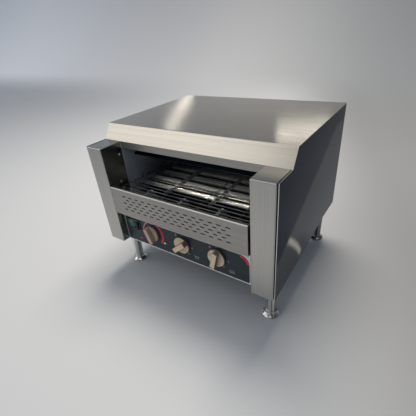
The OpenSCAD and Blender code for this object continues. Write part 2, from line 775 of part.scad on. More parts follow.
module sprocket_set(y) for (x = sprocket_xs) translate([0, y, axis_z]) {
    fin(x - sprocket_w / 2, sprocket_w) sprocket_profile();
    for (s = [-1, 1]) difference() {
        rod_x(min(x + s * sprocket_w / 2, x + s * hub_w / 2), max(x + s * sprocket_w / 2, x + s * hub_w / 2),
              0, 0, hub_r);
        rod_x(x - hub_w, x + hub_w, 0, 0, shaft_d / 2 + press_gap);
    }
}

module drive_sprockets() color("dimgray") placed() sprocket_set(rear_axis_y);
module idler_sprockets() color("dimgray") placed() sprocket_set(front_axis_y);

// Flanged bushes in the chamber walls
module shaft_bushes() color("goldenrod") placed()
    for (s = [0, 1], y = [front_axis_y, rear_axis_y]) mirror([s, 0, 0]) difference() {
        union() {
            rod_x(opening_x - 2, wall_out_x + bush_flange_t, y, axis_z, bush_r);
            rod_x(wall_out_x, wall_out_x + bush_flange_t, y, axis_z, bush_flange_r);
        }
        rod_x(opening_x - 3, wall_out_x + 5, y, axis_z, shaft_d / 2 + running_gap);
    }

// One belt wire along X at [y, z] = [0, 0], with the hooks that reach for the next wire at +Y
module belt_wire() {
    rod_x(-belt_x, belt_x, 0, 0, wire_r);
    for (x = joint_xs) rod_y(0, belt_pitch - wire_r - air_gap, x, 0, link_r);
}

// Straight run whose hooks point to the back, or to the front when turned; it starts half a pitch
// behind the front shaft
module belt_run(z, turned) for (i = [0 : run_wires - 1])
    translate([0, front_axis_y + (i + 0.5) * belt_pitch, z]) rotate([0, 0, turned ? 180 : 0]) belt_wire();

// Six wires round a shaft; each hook follows the chord to the next wire
module belt_wrap(y, start) for (i = [0 : sprocket_teeth / 2 - 1])
    translate([0, y, axis_z]) rotate([start + (i + 0.5) * wire_step, 0, 0])
        translate([0, 0, belt_r]) rotate([-wire_step / 2, 0, 0]) belt_wire();

module belt_top_run() color("silver") placed() belt_run(belt_z, false);
module belt_bottom_run() color("silver") placed() belt_run(axis_z - belt_r, true);
module belt_front_wrap() color("silver") placed() belt_wrap(front_axis_y, 0);
module belt_rear_wrap() color("silver") placed() belt_wrap(rear_axis_y, 180);

// Rails that the top run slides on, and the bars that carry them
module belt_support_rails() color("gray") placed() for (s = [-1, 1])
    span([s * rail_spacing / 2 - rail_w / 2, front_axis_y + 14, rail_top_z - rail_h],
         [s * rail_spacing / 2 + rail_w / 2, rear_axis_y - 14, rail_top_z]);
module belt_support_bars() color("gray") placed() for (y = support_bar_ys) {
    rod_x(-wall_out_x, wall_out_x, y, support_bar_z, support_bar_r);
    for (s = [-1, 1])
        rod_x(s * (wall_in_x - 1) - 1, s * (wall_in_x - 1) + 1, y, support_bar_z, support_bar_r + 2);
}

// Gearbox on four bosses outside the right chamber wall; the drive shaft runs in its hollow output
module gearbox() color("lightslategray") placed() translate([0, rear_axis_y, axis_z]) difference() {
    union() {
        span([gearbox_x, -gearbox_d / 2, -gearbox_h / 2],
             [gearbox_x + gearbox_w, gearbox_d / 2, gearbox_h / 2]);
        for (s = [-1, 1], t = [-1, 1]) rod_x(wall_out_x, gearbox_x + 1, s * boss_y, t * boss_z, boss_r);
    }
    rod_x(gearbox_x - 1, gearbox_x + gearbox_w + 1, 0, 0, shaft_d / 2 + running_gap);
    for (s = [-1, 1], t = [-1, 1])
        screw_hole_x(wall_out_x - 1, wall_out_x + 9, s * boss_y, t * boss_z);
}

// Motor under the gearbox: laminated stack and its two windings
module drive_motor() color("darkslategray") placed() translate([gearbox_x + gearbox_w / 2, rear_axis_y, 0]) {
    stack_top = axis_z - gearbox_h / 2;
    span([-motor_w / 2, -motor_d / 2, stack_top - motor_h], [motor_w / 2, motor_d / 2, stack_top]);
    for (s = [-1, 1]) rod_y(s * motor_d / 2 - 6, s * motor_d / 2 + 6, 0, stack_top - motor_h / 2, coil_r);
}

// ---- Slide, tray and shield ----

// Sheet that turns the falling toast out through the rear exit
module toast_slide() color("silver") placed() {
    run = slide_end - slide_top;
    drop = [0, -sheet * norm(run) / run[0]];
    fin(-wall_in_x, 2 * wall_in_x) polygon([slide_top, slide_end, slide_end + drop, slide_top + drop]);
    for (x = [-wall_in_x, wall_in_x - sheet]) fin(x, sheet) polygon([
        slide_top + drop, slide_end + drop, slide_end + [0, 8], slide_top + [0, 3]
    ]);
}

// Crumb tray, open at the top, with a finger lip at its front
module crumb_tray() color("silver") placed() {
    difference() {
        span([-tray_x, tray_front_y, tray_z], [tray_x, tray_front_y + tray_l, tray_z + tray_h]);
        span([-tray_x + tray_t, tray_front_y + tray_t, tray_z + tray_t],
             [tray_x - tray_t, tray_front_y + tray_l - tray_t, tray_z + tray_h + 1]);
    }
    span([-tray_lip_x, tray_front_y - tray_lip, tray_z + tray_h - tray_t],
         [tray_lip_x, tray_front_y + 0.5, tray_z + tray_h]);
}

// Shield over the control compartment; its folded sides guide the tray
module heat_shield() color("gray") placed() {
    level(shield_z, sheet) polygon([
        [-panel_x, panel_back_y + air_gap], [panel_x, panel_back_y + air_gap],
        [panel_x, post_d], [wall_in_x, post_d], [wall_in_x, shield_back_y],
        [-wall_in_x, shield_back_y], [-wall_in_x, post_d], [-panel_x, post_d]
    ]);
    for (s = [0, 1]) mirror([s, 0, 0])
        span([tray_x + air_gap, panel_back_y + air_gap, shield_z],
             [tray_x + air_gap + sheet, shield_back_y, tray_z + tray_h]);
}

// ---- Cooling fan, terminal block and gland ----

// Square fan frame with its round duct and the stator plate on three struts
module fan_frame() color("black") placed() translate([0, fan_y, base_top_z]) difference() {
    union() {
        difference() {
            level(0, fan_t) round_rect([-fan_w / 2, -fan_w / 2], [fan_w / 2, fan_w / 2], 5);
            rod_z(-1, fan_t + 1, 0, 0, fan_bore_r);
        }
        rod_z(0, fan_stator_t, 0, 0, fan_hub_r);
        for (a = [90, 210, 330]) rotate(a)
            span([fan_hub_r - 1, -fan_strut_w / 2, 0], [fan_bore_r + 1, fan_strut_w / 2, fan_stator_t - 1]);
        rod_z(fan_stator_t - 1, fan_t - 5, 0, 0, fan_axle_r);
    }
    for (x = [-1, 1], y = [-1, 1])
        rod_z(-1, fan_t + 1, x * (fan_w / 2 - fan_hole_in), y * (fan_w / 2 - fan_hole_in), screw_r);
}

// Rotor: hub on the stator's axle, with pitched blades
module fan_rotor() color("dimgray") placed() translate([0, fan_y, base_top_z]) difference() {
    union() {
        rod_z(fan_stator_t + 1, fan_t - 2, 0, 0, fan_hub_r);
        for (i = [0 : fan_blades - 1]) rotate(i * 360 / fan_blades) translate([0, 0, (fan_t + 3) / 2])
            rotate([fan_blade_pitch, 0, 0])
                span([fan_hub_r - 2, -fan_blade_w / 2, -fan_blade_t / 2],
                     [fan_bore_r - 2, fan_blade_w / 2, fan_blade_t / 2]);
    }
    rod_z(fan_stator_t, fan_t - 4, 0, 0, fan_axle_r + running_gap);
}

// Terminal block with its screws sunk in four ways
module terminal_block() color("ivory") placed() translate([block_at[0], block_at[1], base_top_z])
    difference() {
        cube(block_size);
        for (i = [0 : block_ways - 1], y = [2 * block_well_r, block_size[1] - 2 * block_well_r])
            rod_z(block_size[2] - 2 * block_well_r, block_size[2] + 1,
                  (i + 0.5) * block_size[0] / block_ways, y, block_well_r);
    }

// Cable gland in the base plate: inner nut, threaded barrel and domed cap below
module cable_gland() color("black") placed() translate([gland_at[0], gland_at[1], 0]) difference() {
    union() {
        rod_z(base_z - gland_body_h, base_top_z + gland_nut_h + 2, 0, 0, gland_thread_r);
        translate([0, 0, base_top_z]) cylinder(h = gland_nut_h, r = gland_body_r, $fn = 6);
        rod_z(base_z - gland_body_h, base_z, 0, 0, gland_body_r);
        translate([0, 0, base_z - gland_body_h - gland_dome_h])
            cylinder(h = gland_dome_h, r1 = gland_body_r - 3, r2 = gland_body_r);
    }
    rod_z(base_z - gland_body_h - gland_dome_h - 1, base_top_z + gland_nut_h + 3, 0, 0, gland_bore_d / 2);
}

// ---- Legs and feet ----

// Tapered tube leg with its mounting plate, its stud and the threaded bore for the foot
module leg(side, y) color("silver") placed() translate([side * leg_x, y, 0]) difference() {
    union() {
        translate([0, 0, foot_h]) cylinder(h = base_z - leg_plate_t - foot_h, r1 = leg_low_r, r2 = leg_top_r);
        rod_z(base_z - leg_plate_t, base_z, 0, 0, leg_plate_r);
        rod_z(base_z - 1, base_top_z + leg_stud_l, 0, 0, leg_stud_r);
    }
    rod_z(foot_h - 1, foot_h + stem_l + 2, 0, 0, foot_stem_d / 2 + running_gap);
}

module front_left_leg() leg(-1, leg_front_y);
module front_right_leg() leg(1, leg_front_y);
module rear_left_leg() leg(-1, leg_rear_y);
module rear_right_leg() leg(1, leg_rear_y);

// Screw-in foot: flat pad, domed shoulder, collar and stem
module foot(side, y) color("silver") placed() translate([side * leg_x, y, 0]) {
    rod_z(0, foot_pad_h, 0, 0, foot_r);
    translate([0, 0, foot_pad_h]) cylinder(h = foot_shoulder_h, r1 = foot_r, r2 = leg_low_r);
    rod_z(foot_pad_h + foot_shoulder_h - 1, foot_h - air_gap, 0, 0, leg_low_r);
    rod_z(foot_h - 1, foot_h + stem_l, 0, 0, foot_stem_d / 2);
}

module front_left_foot() foot(-1, leg_front_y);
module front_right_foot() foot(1, leg_front_y);
module rear_left_foot() foot(-1, leg_rear_y);
module rear_right_foot() foot(1, leg_rear_y);

// ---- Fasteners ----

// Pan-head screws of the rear panel, the guard, the posts and the gearbox
module case_screws() color("gainsboro") placed() {
    for (s = [-1, 1], z = rear_screw_zs)
        translate([s * rear_screw_x, back_y, z]) rotate([0, 0, -90]) pan_screw(8);
    for (z = guard_screw_zs) {
        translate([guard_left_x + sheet, guard_screw_y, z]) mirror([1, 0, 0]) pan_screw(6);
        translate([guard_right_x - sheet, guard_screw_y, z]) pan_screw(11);
    }
    for (s = [0, 1], p = wall_bolt_at) mirror([s, 0, 0]) translate([opening_x, p[0], p[1]]) pan_screw(5);
    for (s = [-1, 1], t = [-1, 1])
        translate([wall_in_x, rear_axis_y + s * boss_y, axis_z + t * boss_z]) pan_screw(9);
}

// Nuts on the legs' studs, above the base plate
module leg_nuts() color("silver") placed()
    for (x = [-leg_x, leg_x], y = [leg_front_y, leg_rear_y]) translate([x, y, base_top_z]) difference() {
        cylinder(h = nut_h, r = nut_r, $fn = 6);
        rod_z(-1, nut_h + 1, 0, 0, leg_stud_r + screw_gap);
    }

left_side_panel();
right_side_panel();
left_post();
right_post();
left_chamber_wall();
right_chamber_wall();
hood_cover();
opening_header();
rear_panel();
base_plate();
control_panel();
control_film();
front_guard();
power_switch();
power_rocker();
speed_knob();
top_heat_knob();
bottom_heat_knob();
speed_spindle();
top_heat_spindle();
bottom_heat_spindle();
speed_control();
top_heat_switch();
bottom_heat_switch();
upper_reflector();
lower_reflector();
upper_elements();
lower_elements();
element_caps();
drive_shaft();
drive_sprockets();
idler_shaft();
idler_sprockets();
shaft_bushes();
belt_top_run();
belt_bottom_run();
belt_front_wrap();
belt_rear_wrap();
belt_support_rails();
belt_support_bars();
gearbox();
drive_motor();
toast_slide();
crumb_tray();
heat_shield();
fan_frame();
fan_rotor();
terminal_block();
cable_gland();
front_left_leg();
front_right_leg();
rear_left_leg();
rear_right_leg();
front_left_foot();
front_right_foot();
rear_left_foot();
rear_right_foot();
case_screws();
leg_nuts();
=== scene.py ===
from math import acos, cos, pi, radians, sin, tau

import bmesh
import bpy
from mathutils import Matrix, Vector


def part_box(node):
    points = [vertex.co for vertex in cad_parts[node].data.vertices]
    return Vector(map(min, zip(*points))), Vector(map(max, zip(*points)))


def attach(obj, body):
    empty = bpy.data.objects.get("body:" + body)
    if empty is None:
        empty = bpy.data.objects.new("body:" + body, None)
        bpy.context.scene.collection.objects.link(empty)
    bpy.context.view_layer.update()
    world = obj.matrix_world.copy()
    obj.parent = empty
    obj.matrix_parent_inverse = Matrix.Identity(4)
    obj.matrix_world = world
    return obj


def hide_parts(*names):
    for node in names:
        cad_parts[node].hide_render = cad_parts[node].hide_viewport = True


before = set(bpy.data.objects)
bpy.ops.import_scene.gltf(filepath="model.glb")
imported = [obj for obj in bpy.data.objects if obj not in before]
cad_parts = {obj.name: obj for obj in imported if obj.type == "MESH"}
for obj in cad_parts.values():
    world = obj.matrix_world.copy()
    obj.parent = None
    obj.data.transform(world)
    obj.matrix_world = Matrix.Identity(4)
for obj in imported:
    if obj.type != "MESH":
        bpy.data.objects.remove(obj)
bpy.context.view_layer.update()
mm = 0.001
print("frame loaded with", len(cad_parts), "nodes")


# camera, at the place and lens that put the casing's corners where the photograph has them
view = {
    "place": (0.3984, -0.6082, 0.5739),
    "aim": (0.0, -0.0712, 0.1818),
    "roll": -5.34,  # degrees
    "lens": 26.68,  # mm, as is the sensor's width
    "sensor": 36,
    "nearest": 0.02,
}


def addCamera(settings):
    data = bpy.data.cameras.new("photoCamera")
    data.lens = settings["lens"]
    data.sensor_width = settings["sensor"]
    data.clip_start = settings["nearest"]
    camera = bpy.data.objects.new("photoCamera", data)
    place = Vector(settings["place"])
    back = place - Vector(settings["aim"])
    turn = back.to_track_quat("Z", "Y").to_matrix() @ Matrix.Rotation(radians(settings["roll"]), 3, "Z")
    camera.matrix_world = Matrix.Translation(place) @ turn.to_4x4()
    bpy.context.scene.collection.objects.link(camera)
    bpy.context.scene.camera = camera


addCamera(view)
print("camera placed")


class Sock:
    # a node socket that takes part in plain maths, adding Math nodes as it goes
    def __init__(self, look, socket):
        self.look = look
        self.socket = socket

    def maths(self, operation, a, b=0.0):
        return self.look.node("ShaderNodeMath", {"operation": operation}, {0: a, 1: b})

    def __add__(self, other):
        return self.maths("ADD", self, other)

    def __sub__(self, other):
        return self.maths("SUBTRACT", self, other)

    def __rsub__(self, other):
        return self.maths("SUBTRACT", other, self)

    def __mul__(self, other):
        return self.maths("MULTIPLY", self, other)

    def __pow__(self, other):
        return self.maths("POWER", self, other)

    def __abs__(self):
        return self.maths("ABSOLUTE", self)

    def above(self, edge, soft):
        # 0 below the edge, 1 above it, with a soft step between
        return self.look.node(
            "ShaderNodeMapRange", {"interpolation_type": "SMOOTHSTEP"},
            {"Value": self, "From Min": edge - soft, "From Max": edge + soft})

    def sine(self):
        return self.maths("SINE", self)


class Look:
    # the nodes of a new material, or of the world
    def __init__(self, name, owner=None, **fixed):
        self.owner = owner or bpy.data.materials.new(name)
        self.owner.use_nodes = True
        self.tree = self.owner.node_tree
        if owner is None:
            self.shader = self.tree.nodes["Principled BSDF"]
            for key, value in fixed.items():
                self.shader.inputs[key.replace("_", " ")].default_value = value

    def node(self, kind, settings=None, sockets=None, out=0):
        made = self.tree.nodes.new(kind)
        for key, value in (settings or {}).items():
            setattr(made, key, value)
        for key, value in (sockets or {}).items():
            if isinstance(value, Sock):
                self.tree.links.new(value.socket, made.inputs[key])
            else:
                made.inputs[key].default_value = value
        return Sock(self, made.outputs[out])

    def blend(self, factor, a, b):
        # colours mixed by a factor
        return self.node("ShaderNodeMix", {"data_type": "RGBA"}, {0: factor, 6: a, 7: b}, out=2)

    def place(self):
        return self.node("ShaderNodeTexCoord", out="Object")

    def facing(self):
        return self.node("ShaderNodeTexCoord", out="Normal")

    def parts(self, vector):
        # the three numbers of a vector
        first = self.node("ShaderNodeSeparateXYZ", sockets={0: vector})
        return [Sock(self, first.socket.node.outputs[i]) for i in range(3)]

    def noise(self, scale, stretch=(1, 1, 1), detail=3.0, rough=0.5):
        spot = self.node("ShaderNodeMapping", sockets={"Vector": self.place(), "Scale": stretch})
        return self.node("ShaderNodeTexNoise", sockets={
            "Vector": spot, "Scale": scale, "Detail": detail, "Roughness": rough})

    def feed(self, name, value):
        self.tree.links.new(value.socket, self.shader.inputs[name])

    def bump(self, height, strength, depth):
        self.feed("Normal", self.node("ShaderNodeBump", sockets={
            "Height": height, "Strength": strength, "Distance": depth}))


def tone(r, g, b, level=1.0):
    return (r * level, g * level, b * level, 1.0)


# brushed sheet: fine grain lines along one axis stretch the highlights across it, under faint wiping marks
grain = {
    "run": 0.004,  # squeezes a pattern along the brushing, which draws it out into lines
    "lines": 2200.0,
    "bands": 420.0,
    "clouds": 7.0,
    "wipes": 2.4,
    "pale": 1.22,  # the colour's level where the marks are faintest
    "dark": 0.35,  # and where they are strongest
}


def sheetLook(name, colour, along="x", roughness=0.3, cloud=0.10, brush=0.3, metal=1.0):
    look = Look(name, Metallic=metal)
    run = grain["run"]
    stretch = {"x": (run, 1, 1), "y": (1, run, 1), "z": (1, 1, run)}[along]
    if along == "z":
        # on level faces the grain of an upright sheet runs on towards the back
        _, _, level = look.parts(look.facing())
        across, deep, up = look.parts(look.place())
        level = abs(level).above(0.6, 0.1)
        deep = deep * (1 - level * (1 - run))
        spot = look.node("ShaderNodeCombineXYZ", sockets={0: across, 1: deep, 2: up * run})
        lines = look.node("ShaderNodeTexNoise", sockets={
            "Vector": spot, "Scale": grain["lines"], "Detail": 2.0})
    else:
        lines = look.noise(grain["lines"], stretch, detail=2.0)
    bands = look.noise(grain["bands"], stretch, detail=4.0, rough=0.65)
    clouds = look.noise(grain["clouds"], detail=4.0, rough=0.6)
    wipes = look.noise(grain["wipes"], (1, 3, 2), detail=2.0)
    marked = bands * 0.40 + clouds * cloud + wipes * (cloud * 0.7)
    look.feed("Base Color", look.blend(marked, tone(*colour, grain["pale"]), tone(*colour, grain["dark"])))
    look.feed("Roughness", bands * 0.10 + clouds * 0.10 + (roughness - 0.10))
    look.bump(lines + bands * 0.2, 1.0, brush * mm)
    return look


# base colours of the sheets
steel = {
    "hood": (0.615, 0.57, 0.485),
    "post": (0.445, 0.44, 0.42),
    "guard": (0.335, 0.325, 0.31),
    # the hems' pale tone is a painted highlight
    "hem": (0.86, 0.85, 0.82),
    "panel": (0.62, 0.62, 0.61),
    "header": (0.36, 0.35, 0.325),
    "rear": (0.42, 0.42, 0.41),
    "inner": (0.20, 0.20, 0.20),
    # painted shade: the reflectors are near-black blue, as the chamber behind the belt lies in shade
    "reflector": (0.018, 0.028, 0.046),
    "tray": (0.3, 0.3, 0.3),
}

hoodLook = sheetLook("hoodBrushed", steel["hood"], "x", roughness=0.115, brush=0.03)
postLook = sheetLook("postBrushed", steel["post"], "z", roughness=0.24, brush=0.08)
guardLook = sheetLook("guardBrushed", steel["guard"], "x", roughness=0.36, brush=0.1)
panelLook = sheetLook("controlPanelSteel", steel["panel"], "x", brush=0.1)
headerLook = sheetLook("headerSteel", steel["header"], "x", roughness=0.34, brush=0.1)
rearLook = sheetLook("rearBrushed", steel["rear"], "x", roughness=0.3, brush=0.15)
innerLook = sheetLook("innerSheet", steel["inner"], "y", roughness=0.45, cloud=0.2, brush=0.1)
# painted shade: near-black reflectors
reflectorLook = sheetLook("reflectorSheet", steel["reflector"], "x", roughness=0.5, cloud=0.3, brush=0.1)
trayLook = sheetLook("traySheet", steel["tray"], "y", roughness=0.4, cloud=0.2, brush=0.1)


# side panels: polished faces painted near-black as a painted reflection of dark surroundings, with cut edges
# painted pale as a painted highlight
sidePanel = {
    # painted reflection: the faces' near-black tone; painted highlight: the pale tone of the cut edges
    "dark": (0.038, 0.042, 0.052),
    "edge": (0.70, 0.69, 0.66),
    "glancing": (0.56, 0.58, 0.63),
    "brushing": (420, 4, 420),
    # painted reflection: the right panel is paler below a slanting line, which rises towards the back up to a
    # level edge, and above that edge a dark band under the hood is left
    "paintedReflection": (0.17, 0.17, 0.163),
    "paintedReflectionSlope": 0.51,
    "paintedReflectionHeight": 0.278,
    "paintedReflectionSoft": 0.008,
    "paintedReflectionTop": (0.354, 0.003),
    # and it has one short curved painted highlight, pale and mostly not metal, with a middle (depth, height),
    # a way down and half a length and width
    "paintedHighlight": (0.97, 0.86, 0.68),
    "paintedHighlightPlace": (-0.10, 0.17),
    "paintedHighlightWay": (0.69, -0.72),
    "paintedHighlightBend": 1.2,
    "paintedHighlightHalf": (0.058, 0.007),
    "paintedHighlightSoft": (0.012, 0.006),
}


def paintedHighlightMask(look, back, up):
    (backMiddle, upMiddle), (backWay, upWay) = sidePanel["paintedHighlightPlace"], sidePanel["paintedHighlightWay"]
    (halfLength, halfWidth), (lengthSoft, widthSoft) = sidePanel["paintedHighlightHalf"], sidePanel["paintedHighlightSoft"]
    back = back - backMiddle
    up = up - upMiddle
    along = back * backWay + up * upWay
    beside = back * -upWay + up * backWay + along * along * sidePanel["paintedHighlightBend"]
    return (1 - abs(along).above(halfLength, lengthSoft)) * (1 - abs(beside).above(halfWidth, widthSoft))


def sideLook():
    look = Look("sidePolished", Specular_Tint=tone(*sidePanel["glancing"]))
    lines = look.noise(1.0, sidePanel["brushing"], detail=4.0, rough=0.65)
    clouds = look.noise(5.0, detail=3.0)
    across, _, _ = look.parts(look.facing())
    flat = abs(across).above(0.6, 0.2)
    mottle = clouds * 0.5 + lines * 0.45
    # painted reflection: a mottled near-black tone on the faces
    face = look.blend(mottle, tone(*sidePanel["dark"], 1.9), tone(*sidePanel["dark"], 0.3))
    right, back, up = look.parts(look.place())
    isRight = right.above(0.0, 0.1)
    # painted reflection: paler below the slanting line, only on the right panel and only up to the level edge
    under = back * sidePanel["paintedReflectionSlope"] + clouds * 0.02 - up + sidePanel["paintedReflectionHeight"]
    paintedReflection = under.above(0.0, sidePanel["paintedReflectionSoft"]) * (1 - up.above(*sidePanel["paintedReflectionTop"])) * isRight
    # painted highlight: a pale curved mark, made mostly not metal so that the lamps light it
    paintedHighlight = paintedHighlightMask(look, back, up) * isRight
    face = look.blend(paintedReflection, face, tone(*sidePanel["paintedReflection"]))
    face = look.blend(paintedHighlight, face, tone(*sidePanel["paintedHighlight"]))
    look.feed("Metallic", 1 - paintedHighlight * 0.8)
    # painted highlight: the cut edges, which don't face sideways, take the pale tone
    look.feed("Base Color", look.blend(flat, tone(*sidePanel["edge"]), face))
    look.feed("Roughness", lines * 0.08 + clouds * 0.12 + 0.14)
    look.bump(lines, 0.06, 0.2 * mm)
    return look


# chamber walls: pale in front, darker towards the back
chamber = {
    "frontTones": ((1.0, 1.0, 1.0), (0.72, 0.74, 0.75)),
    "backTones": ((0.085, 0.09, 0.10), (0.04, 0.045, 0.055)),
    "backTonesFrom": -0.06,  # the depth where the tint is half way
    "soft": 0.09,
    "streaks": (20, 20, 160),
}


def chamberLook():
    look = Look("chamberWall", Metallic=0.55)
    clouds = look.noise(9.0, detail=5.0, rough=0.65)
    streaks = look.noise(1.0, chamber["streaks"], detail=3.0)
    _, back, _ = look.parts(look.place())
    # the walls turn from the front tones to the darker back tones with depth
    heat = back.above(chamber["backTonesFrom"], chamber["soft"])
    frontTones = look.blend(clouds, *[tone(*colour) for colour in chamber["frontTones"]])
    backTones = look.blend(streaks, *[tone(*colour) for colour in chamber["backTones"]])
    look.feed("Base Color", look.blend(heat, frontTones, backTones))
    look.feed("Roughness", clouds * 0.2 + 0.34)
    look.bump(streaks, 0.08, 0.3 * mm)
    return look


# moulded plastic: fine specks and slight colour drift
speckScale = 900.0


def plasticLook(name, colour, roughness=0.42, texture=0.12, coat=0.0):
    look = Look(name, Coat_Weight=coat)
    speck = look.noise(speckScale, detail=2.0)
    drift = look.noise(30.0, detail=3.0)
    look.feed("Base Color", look.blend(drift * 0.7 + speck * 0.3, tone(*colour, 1.12), tone(*colour, 0.86)))
    look.feed("Roughness", speck * 0.10 + drift * 0.08 + (roughness - 0.09))
    look.bump(speck, texture, 0.2 * mm)
    return look


# bright plated metal with faint polishing swirls, and on the legs and feet long dark lengthwise stripes, a
# painted reflection of the shaded floor under the casing
def platedLook(name, colour, roughness=0.14, worn=0.1, paintedStripes=0.0):
    look = Look(name, Metallic=1.0)
    swirl = look.noise(60.0, (1, 1, 0.3), detail=4.0)
    dull = look.noise(14.0, detail=3.0)
    level = dull * worn + swirl * 0.1
    if paintedStripes:
        # painted reflection: dark lengthwise stripes
        level = level + look.noise(190.0, (1, 1, 0.02), detail=1.0).above(0.5, 0.1) * paintedStripes
    look.feed("Base Color", look.blend(level, tone(*colour), tone(*colour, 0.22)))
    look.feed("Roughness", swirl * 0.08 + dull * worn + (roughness - 0.04))
    look.bump(swirl, 0.03, 0.2 * mm)
    return look


# frosted tubes: cream skin, faint bands of the coil inside, browned patches
quartz = {
    "skin": (0.88, 0.83, 0.71),
    "coil": (0.62, 0.54, 0.42),
    "browned": (0.5, 0.41, 0.3),
    "coilPitch": 3.4 * mm,
    "patches": (9, 60, 60),
}


def tubeLook():
    look = Look("frostedTube", Coat_Weight=0.1, Coat_Roughness=0.3)
    along, _, _ = look.parts(look.place())
    coil = (along * (tau / quartz["coilPitch"])).sine() * 0.5 + 0.5
    patches = look.noise(1.0, quartz["patches"], detail=4.0)
    skin = look.blend(coil * 0.22, tone(*quartz["skin"]), tone(*quartz["coil"]))
    look.feed("Base Color", look.blend(patches.above(0.62, 0.12), skin, tone(*quartz["browned"])))
    look.feed("Roughness", patches * 0.15 + 0.42)
    look.bump(coil, 0.04, 0.2 * mm)
    return look


# belt wire: bright in places, darkened by heat in others, with fine rubbing marks round it
wireTones = {"bright": (0.36, 0.36, 0.355), "darkened": (0.13, 0.13, 0.13), "rubs": (300, 30, 30)}


def wireLook():
    look = Look("beltWire", Metallic=1.0)
    heat = look.noise(26.0, detail=4.0)
    rub = look.noise(1.0, wireTones["rubs"], detail=2.0)
    bright, darkened = tone(*wireTones["bright"]), tone(*wireTones["darkened"])
    look.feed("Base Color", look.blend(heat.above(0.5, 0.22), bright, darkened))
    look.feed("Roughness", rub * 0.2 + 0.28)
    look.bump(rub, 0.05, 0.1 * mm)
    return look


# knob plastic: cream on the faces turned outwards, and a painted shade of brown on the sides of the grip
def knobLook(name, cream, brown):
    look = Look(name, Coat_Weight=0.25, Coat_Roughness=0.2)
    _, out, _ = look.parts(look.facing())
    speck = look.noise(speckScale, detail=2.0)
    stain = look.noise(90.0, detail=4.0, rough=0.65)
    face = look.blend(stain.above(0.62, 0.15), tone(*cream), tone(*cream, 0.62))
    # painted shade: faces that don't look out turn brown
    side = (out + 0.55 + stain * 0.3).above(0.2, 0.35)
    look.feed("Base Color", look.blend(side, face, tone(*brown)))
    look.feed("Roughness", speck * 0.10 + stain * 0.08 + 0.24)
    look.bump(speck, 0.06, 0.2 * mm)
    return look


# printed film: dark slate satin with a fine texture
filmTones = ((0.016, 0.024, 0.030), (0.032, 0.046, 0.056))


def filmLook():
    look = Look("panelFilm", Specular_IOR_Level=0.3)
    weave = look.noise(1400.0, detail=2.0)
    clouds = look.noise(18.0, detail=3.0)
    look.feed("Base Color", look.blend(clouds, *[tone(*colour) for colour in filmTones]))
    look.feed("Roughness", weave * 0.1 + clouds * 0.1 + 0.30)
    look.bump(weave, 0.05, 0.1 * mm)
    return look


# cast, sintered and stamped parts: small pits and broad stains
def castLook(name, colour, roughness=0.6, metal=0.8):
    look = Look(name, Metallic=metal)
    pits = look.noise(420.0, detail=4.0, rough=0.7)
    stain = look.noise(20.0, detail=4.0)
    look.feed("Base Color", look.blend(stain * 0.6 + pits * 0.3, tone(*colour, 1.1), tone(*colour, 0.7)))
    look.feed("Roughness", pits * 0.2 + (roughness - 0.1))
    look.bump(pits, 0.3, 0.3 * mm)
    return look


chromeLook = platedLook("legChrome", (1.0, 0.98, 0.95), 0.09, paintedStripes=0.8)
# painted shade: the rear legs wear a darker copy of the leg chrome
rearChromeShadeLook = platedLook("rearLegChromeShaded", (0.42, 0.43, 0.45), 0.12, paintedStripes=0.8)
screwLook = platedLook("screwPlated", (0.74, 0.73, 0.71), 0.22)
shaftLook = platedLook("groundShaft", (0.58, 0.57, 0.55), 0.26)
dullLook = castLook("stampedSteel", (0.36, 0.35, 0.34), 0.45)
castGrey = castLook("castHousing", (0.42, 0.44, 0.46), 0.55)
motorLook = castLook("motorStack", (0.16, 0.17, 0.19), 0.6)
bronzeLook = castLook("sinteredBronze", (0.55, 0.40, 0.20), 0.42, 1.0)
blackLook = plasticLook("switchBlack", (0.02, 0.022, 0.026), 0.34, 0.05, 0.2)
ivoryLook = plasticLook("switchCase", (0.72, 0.69, 0.60), 0.5)
boardLook = plasticLook("controlBoard", (0.05, 0.16, 0.09), 0.4, 0.05, 0.3)
capLook = plasticLook("tubeCap", (0.82, 0.80, 0.74), 0.6, 0.3)
knobMark = plasticLook("knobMark", (0.66, 0.57, 0.43), 0.4)
film = filmLook()
print("finishes made")


def wear(look, *nodes):
    # gives carried-over nodes their finish
    for name in nodes:
        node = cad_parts[name]
        for place in node.material_slots:
            place.material = look.owner


wear(sideLook(), "left_side_panel", "right_side_panel")
wear(chamberLook(), "left_chamber_wall", "right_chamber_wall")
wear(headerLook, "opening_header")
wear(rearLook, "rear_panel")
wear(panelLook, "control_panel")
wear(innerLook, "base_plate", "heat_shield", "toast_slide")
wear(reflectorLook, "upper_reflector", "lower_reflector")
wear(trayLook, "crumb_tray")
wear(guardLook, "front_guard")
wear(film, "control_film")
wear(blackLook, "power_switch", "fan_frame", "fan_rotor", "cable_gland")
wear(boardLook, "speed_control")
wear(ivoryLook, "top_heat_switch", "bottom_heat_switch", "terminal_block")
wear(capLook, "element_caps")
wear(shaftLook, "speed_spindle", "top_heat_spindle", "bottom_heat_spindle")
wear(shaftLook, "drive_shaft", "idler_shaft", "belt_support_bars")
wear(dullLook, "drive_sprockets", "idler_sprockets", "belt_support_rails")
wear(bronzeLook, "shaft_bushes")
wear(castGrey, "gearbox")
wear(motorLook, "drive_motor")
wear(screwLook, "leg_nuts", "case_screws")
print("carried-over nodes dressed")


# mesh tools: rings of points, skinned from one to the next
def joinRings(bm, low, high):
    # a ring may have fewer points than its neighbour, down to one, where faces close to a fan
    count = max(len(low), len(high))
    for i in range(count):
        a, b = low[i % len(low)], low[(i + 1) % len(low)]
        c, d = high[(i + 1) % len(high)], high[i % len(high)]
        corners = [v for k, v in enumerate((a, b, c, d)) if v not in (a, b, c, d)[:k]]
        if len(corners) > 2:
            bm.faces.new(corners)


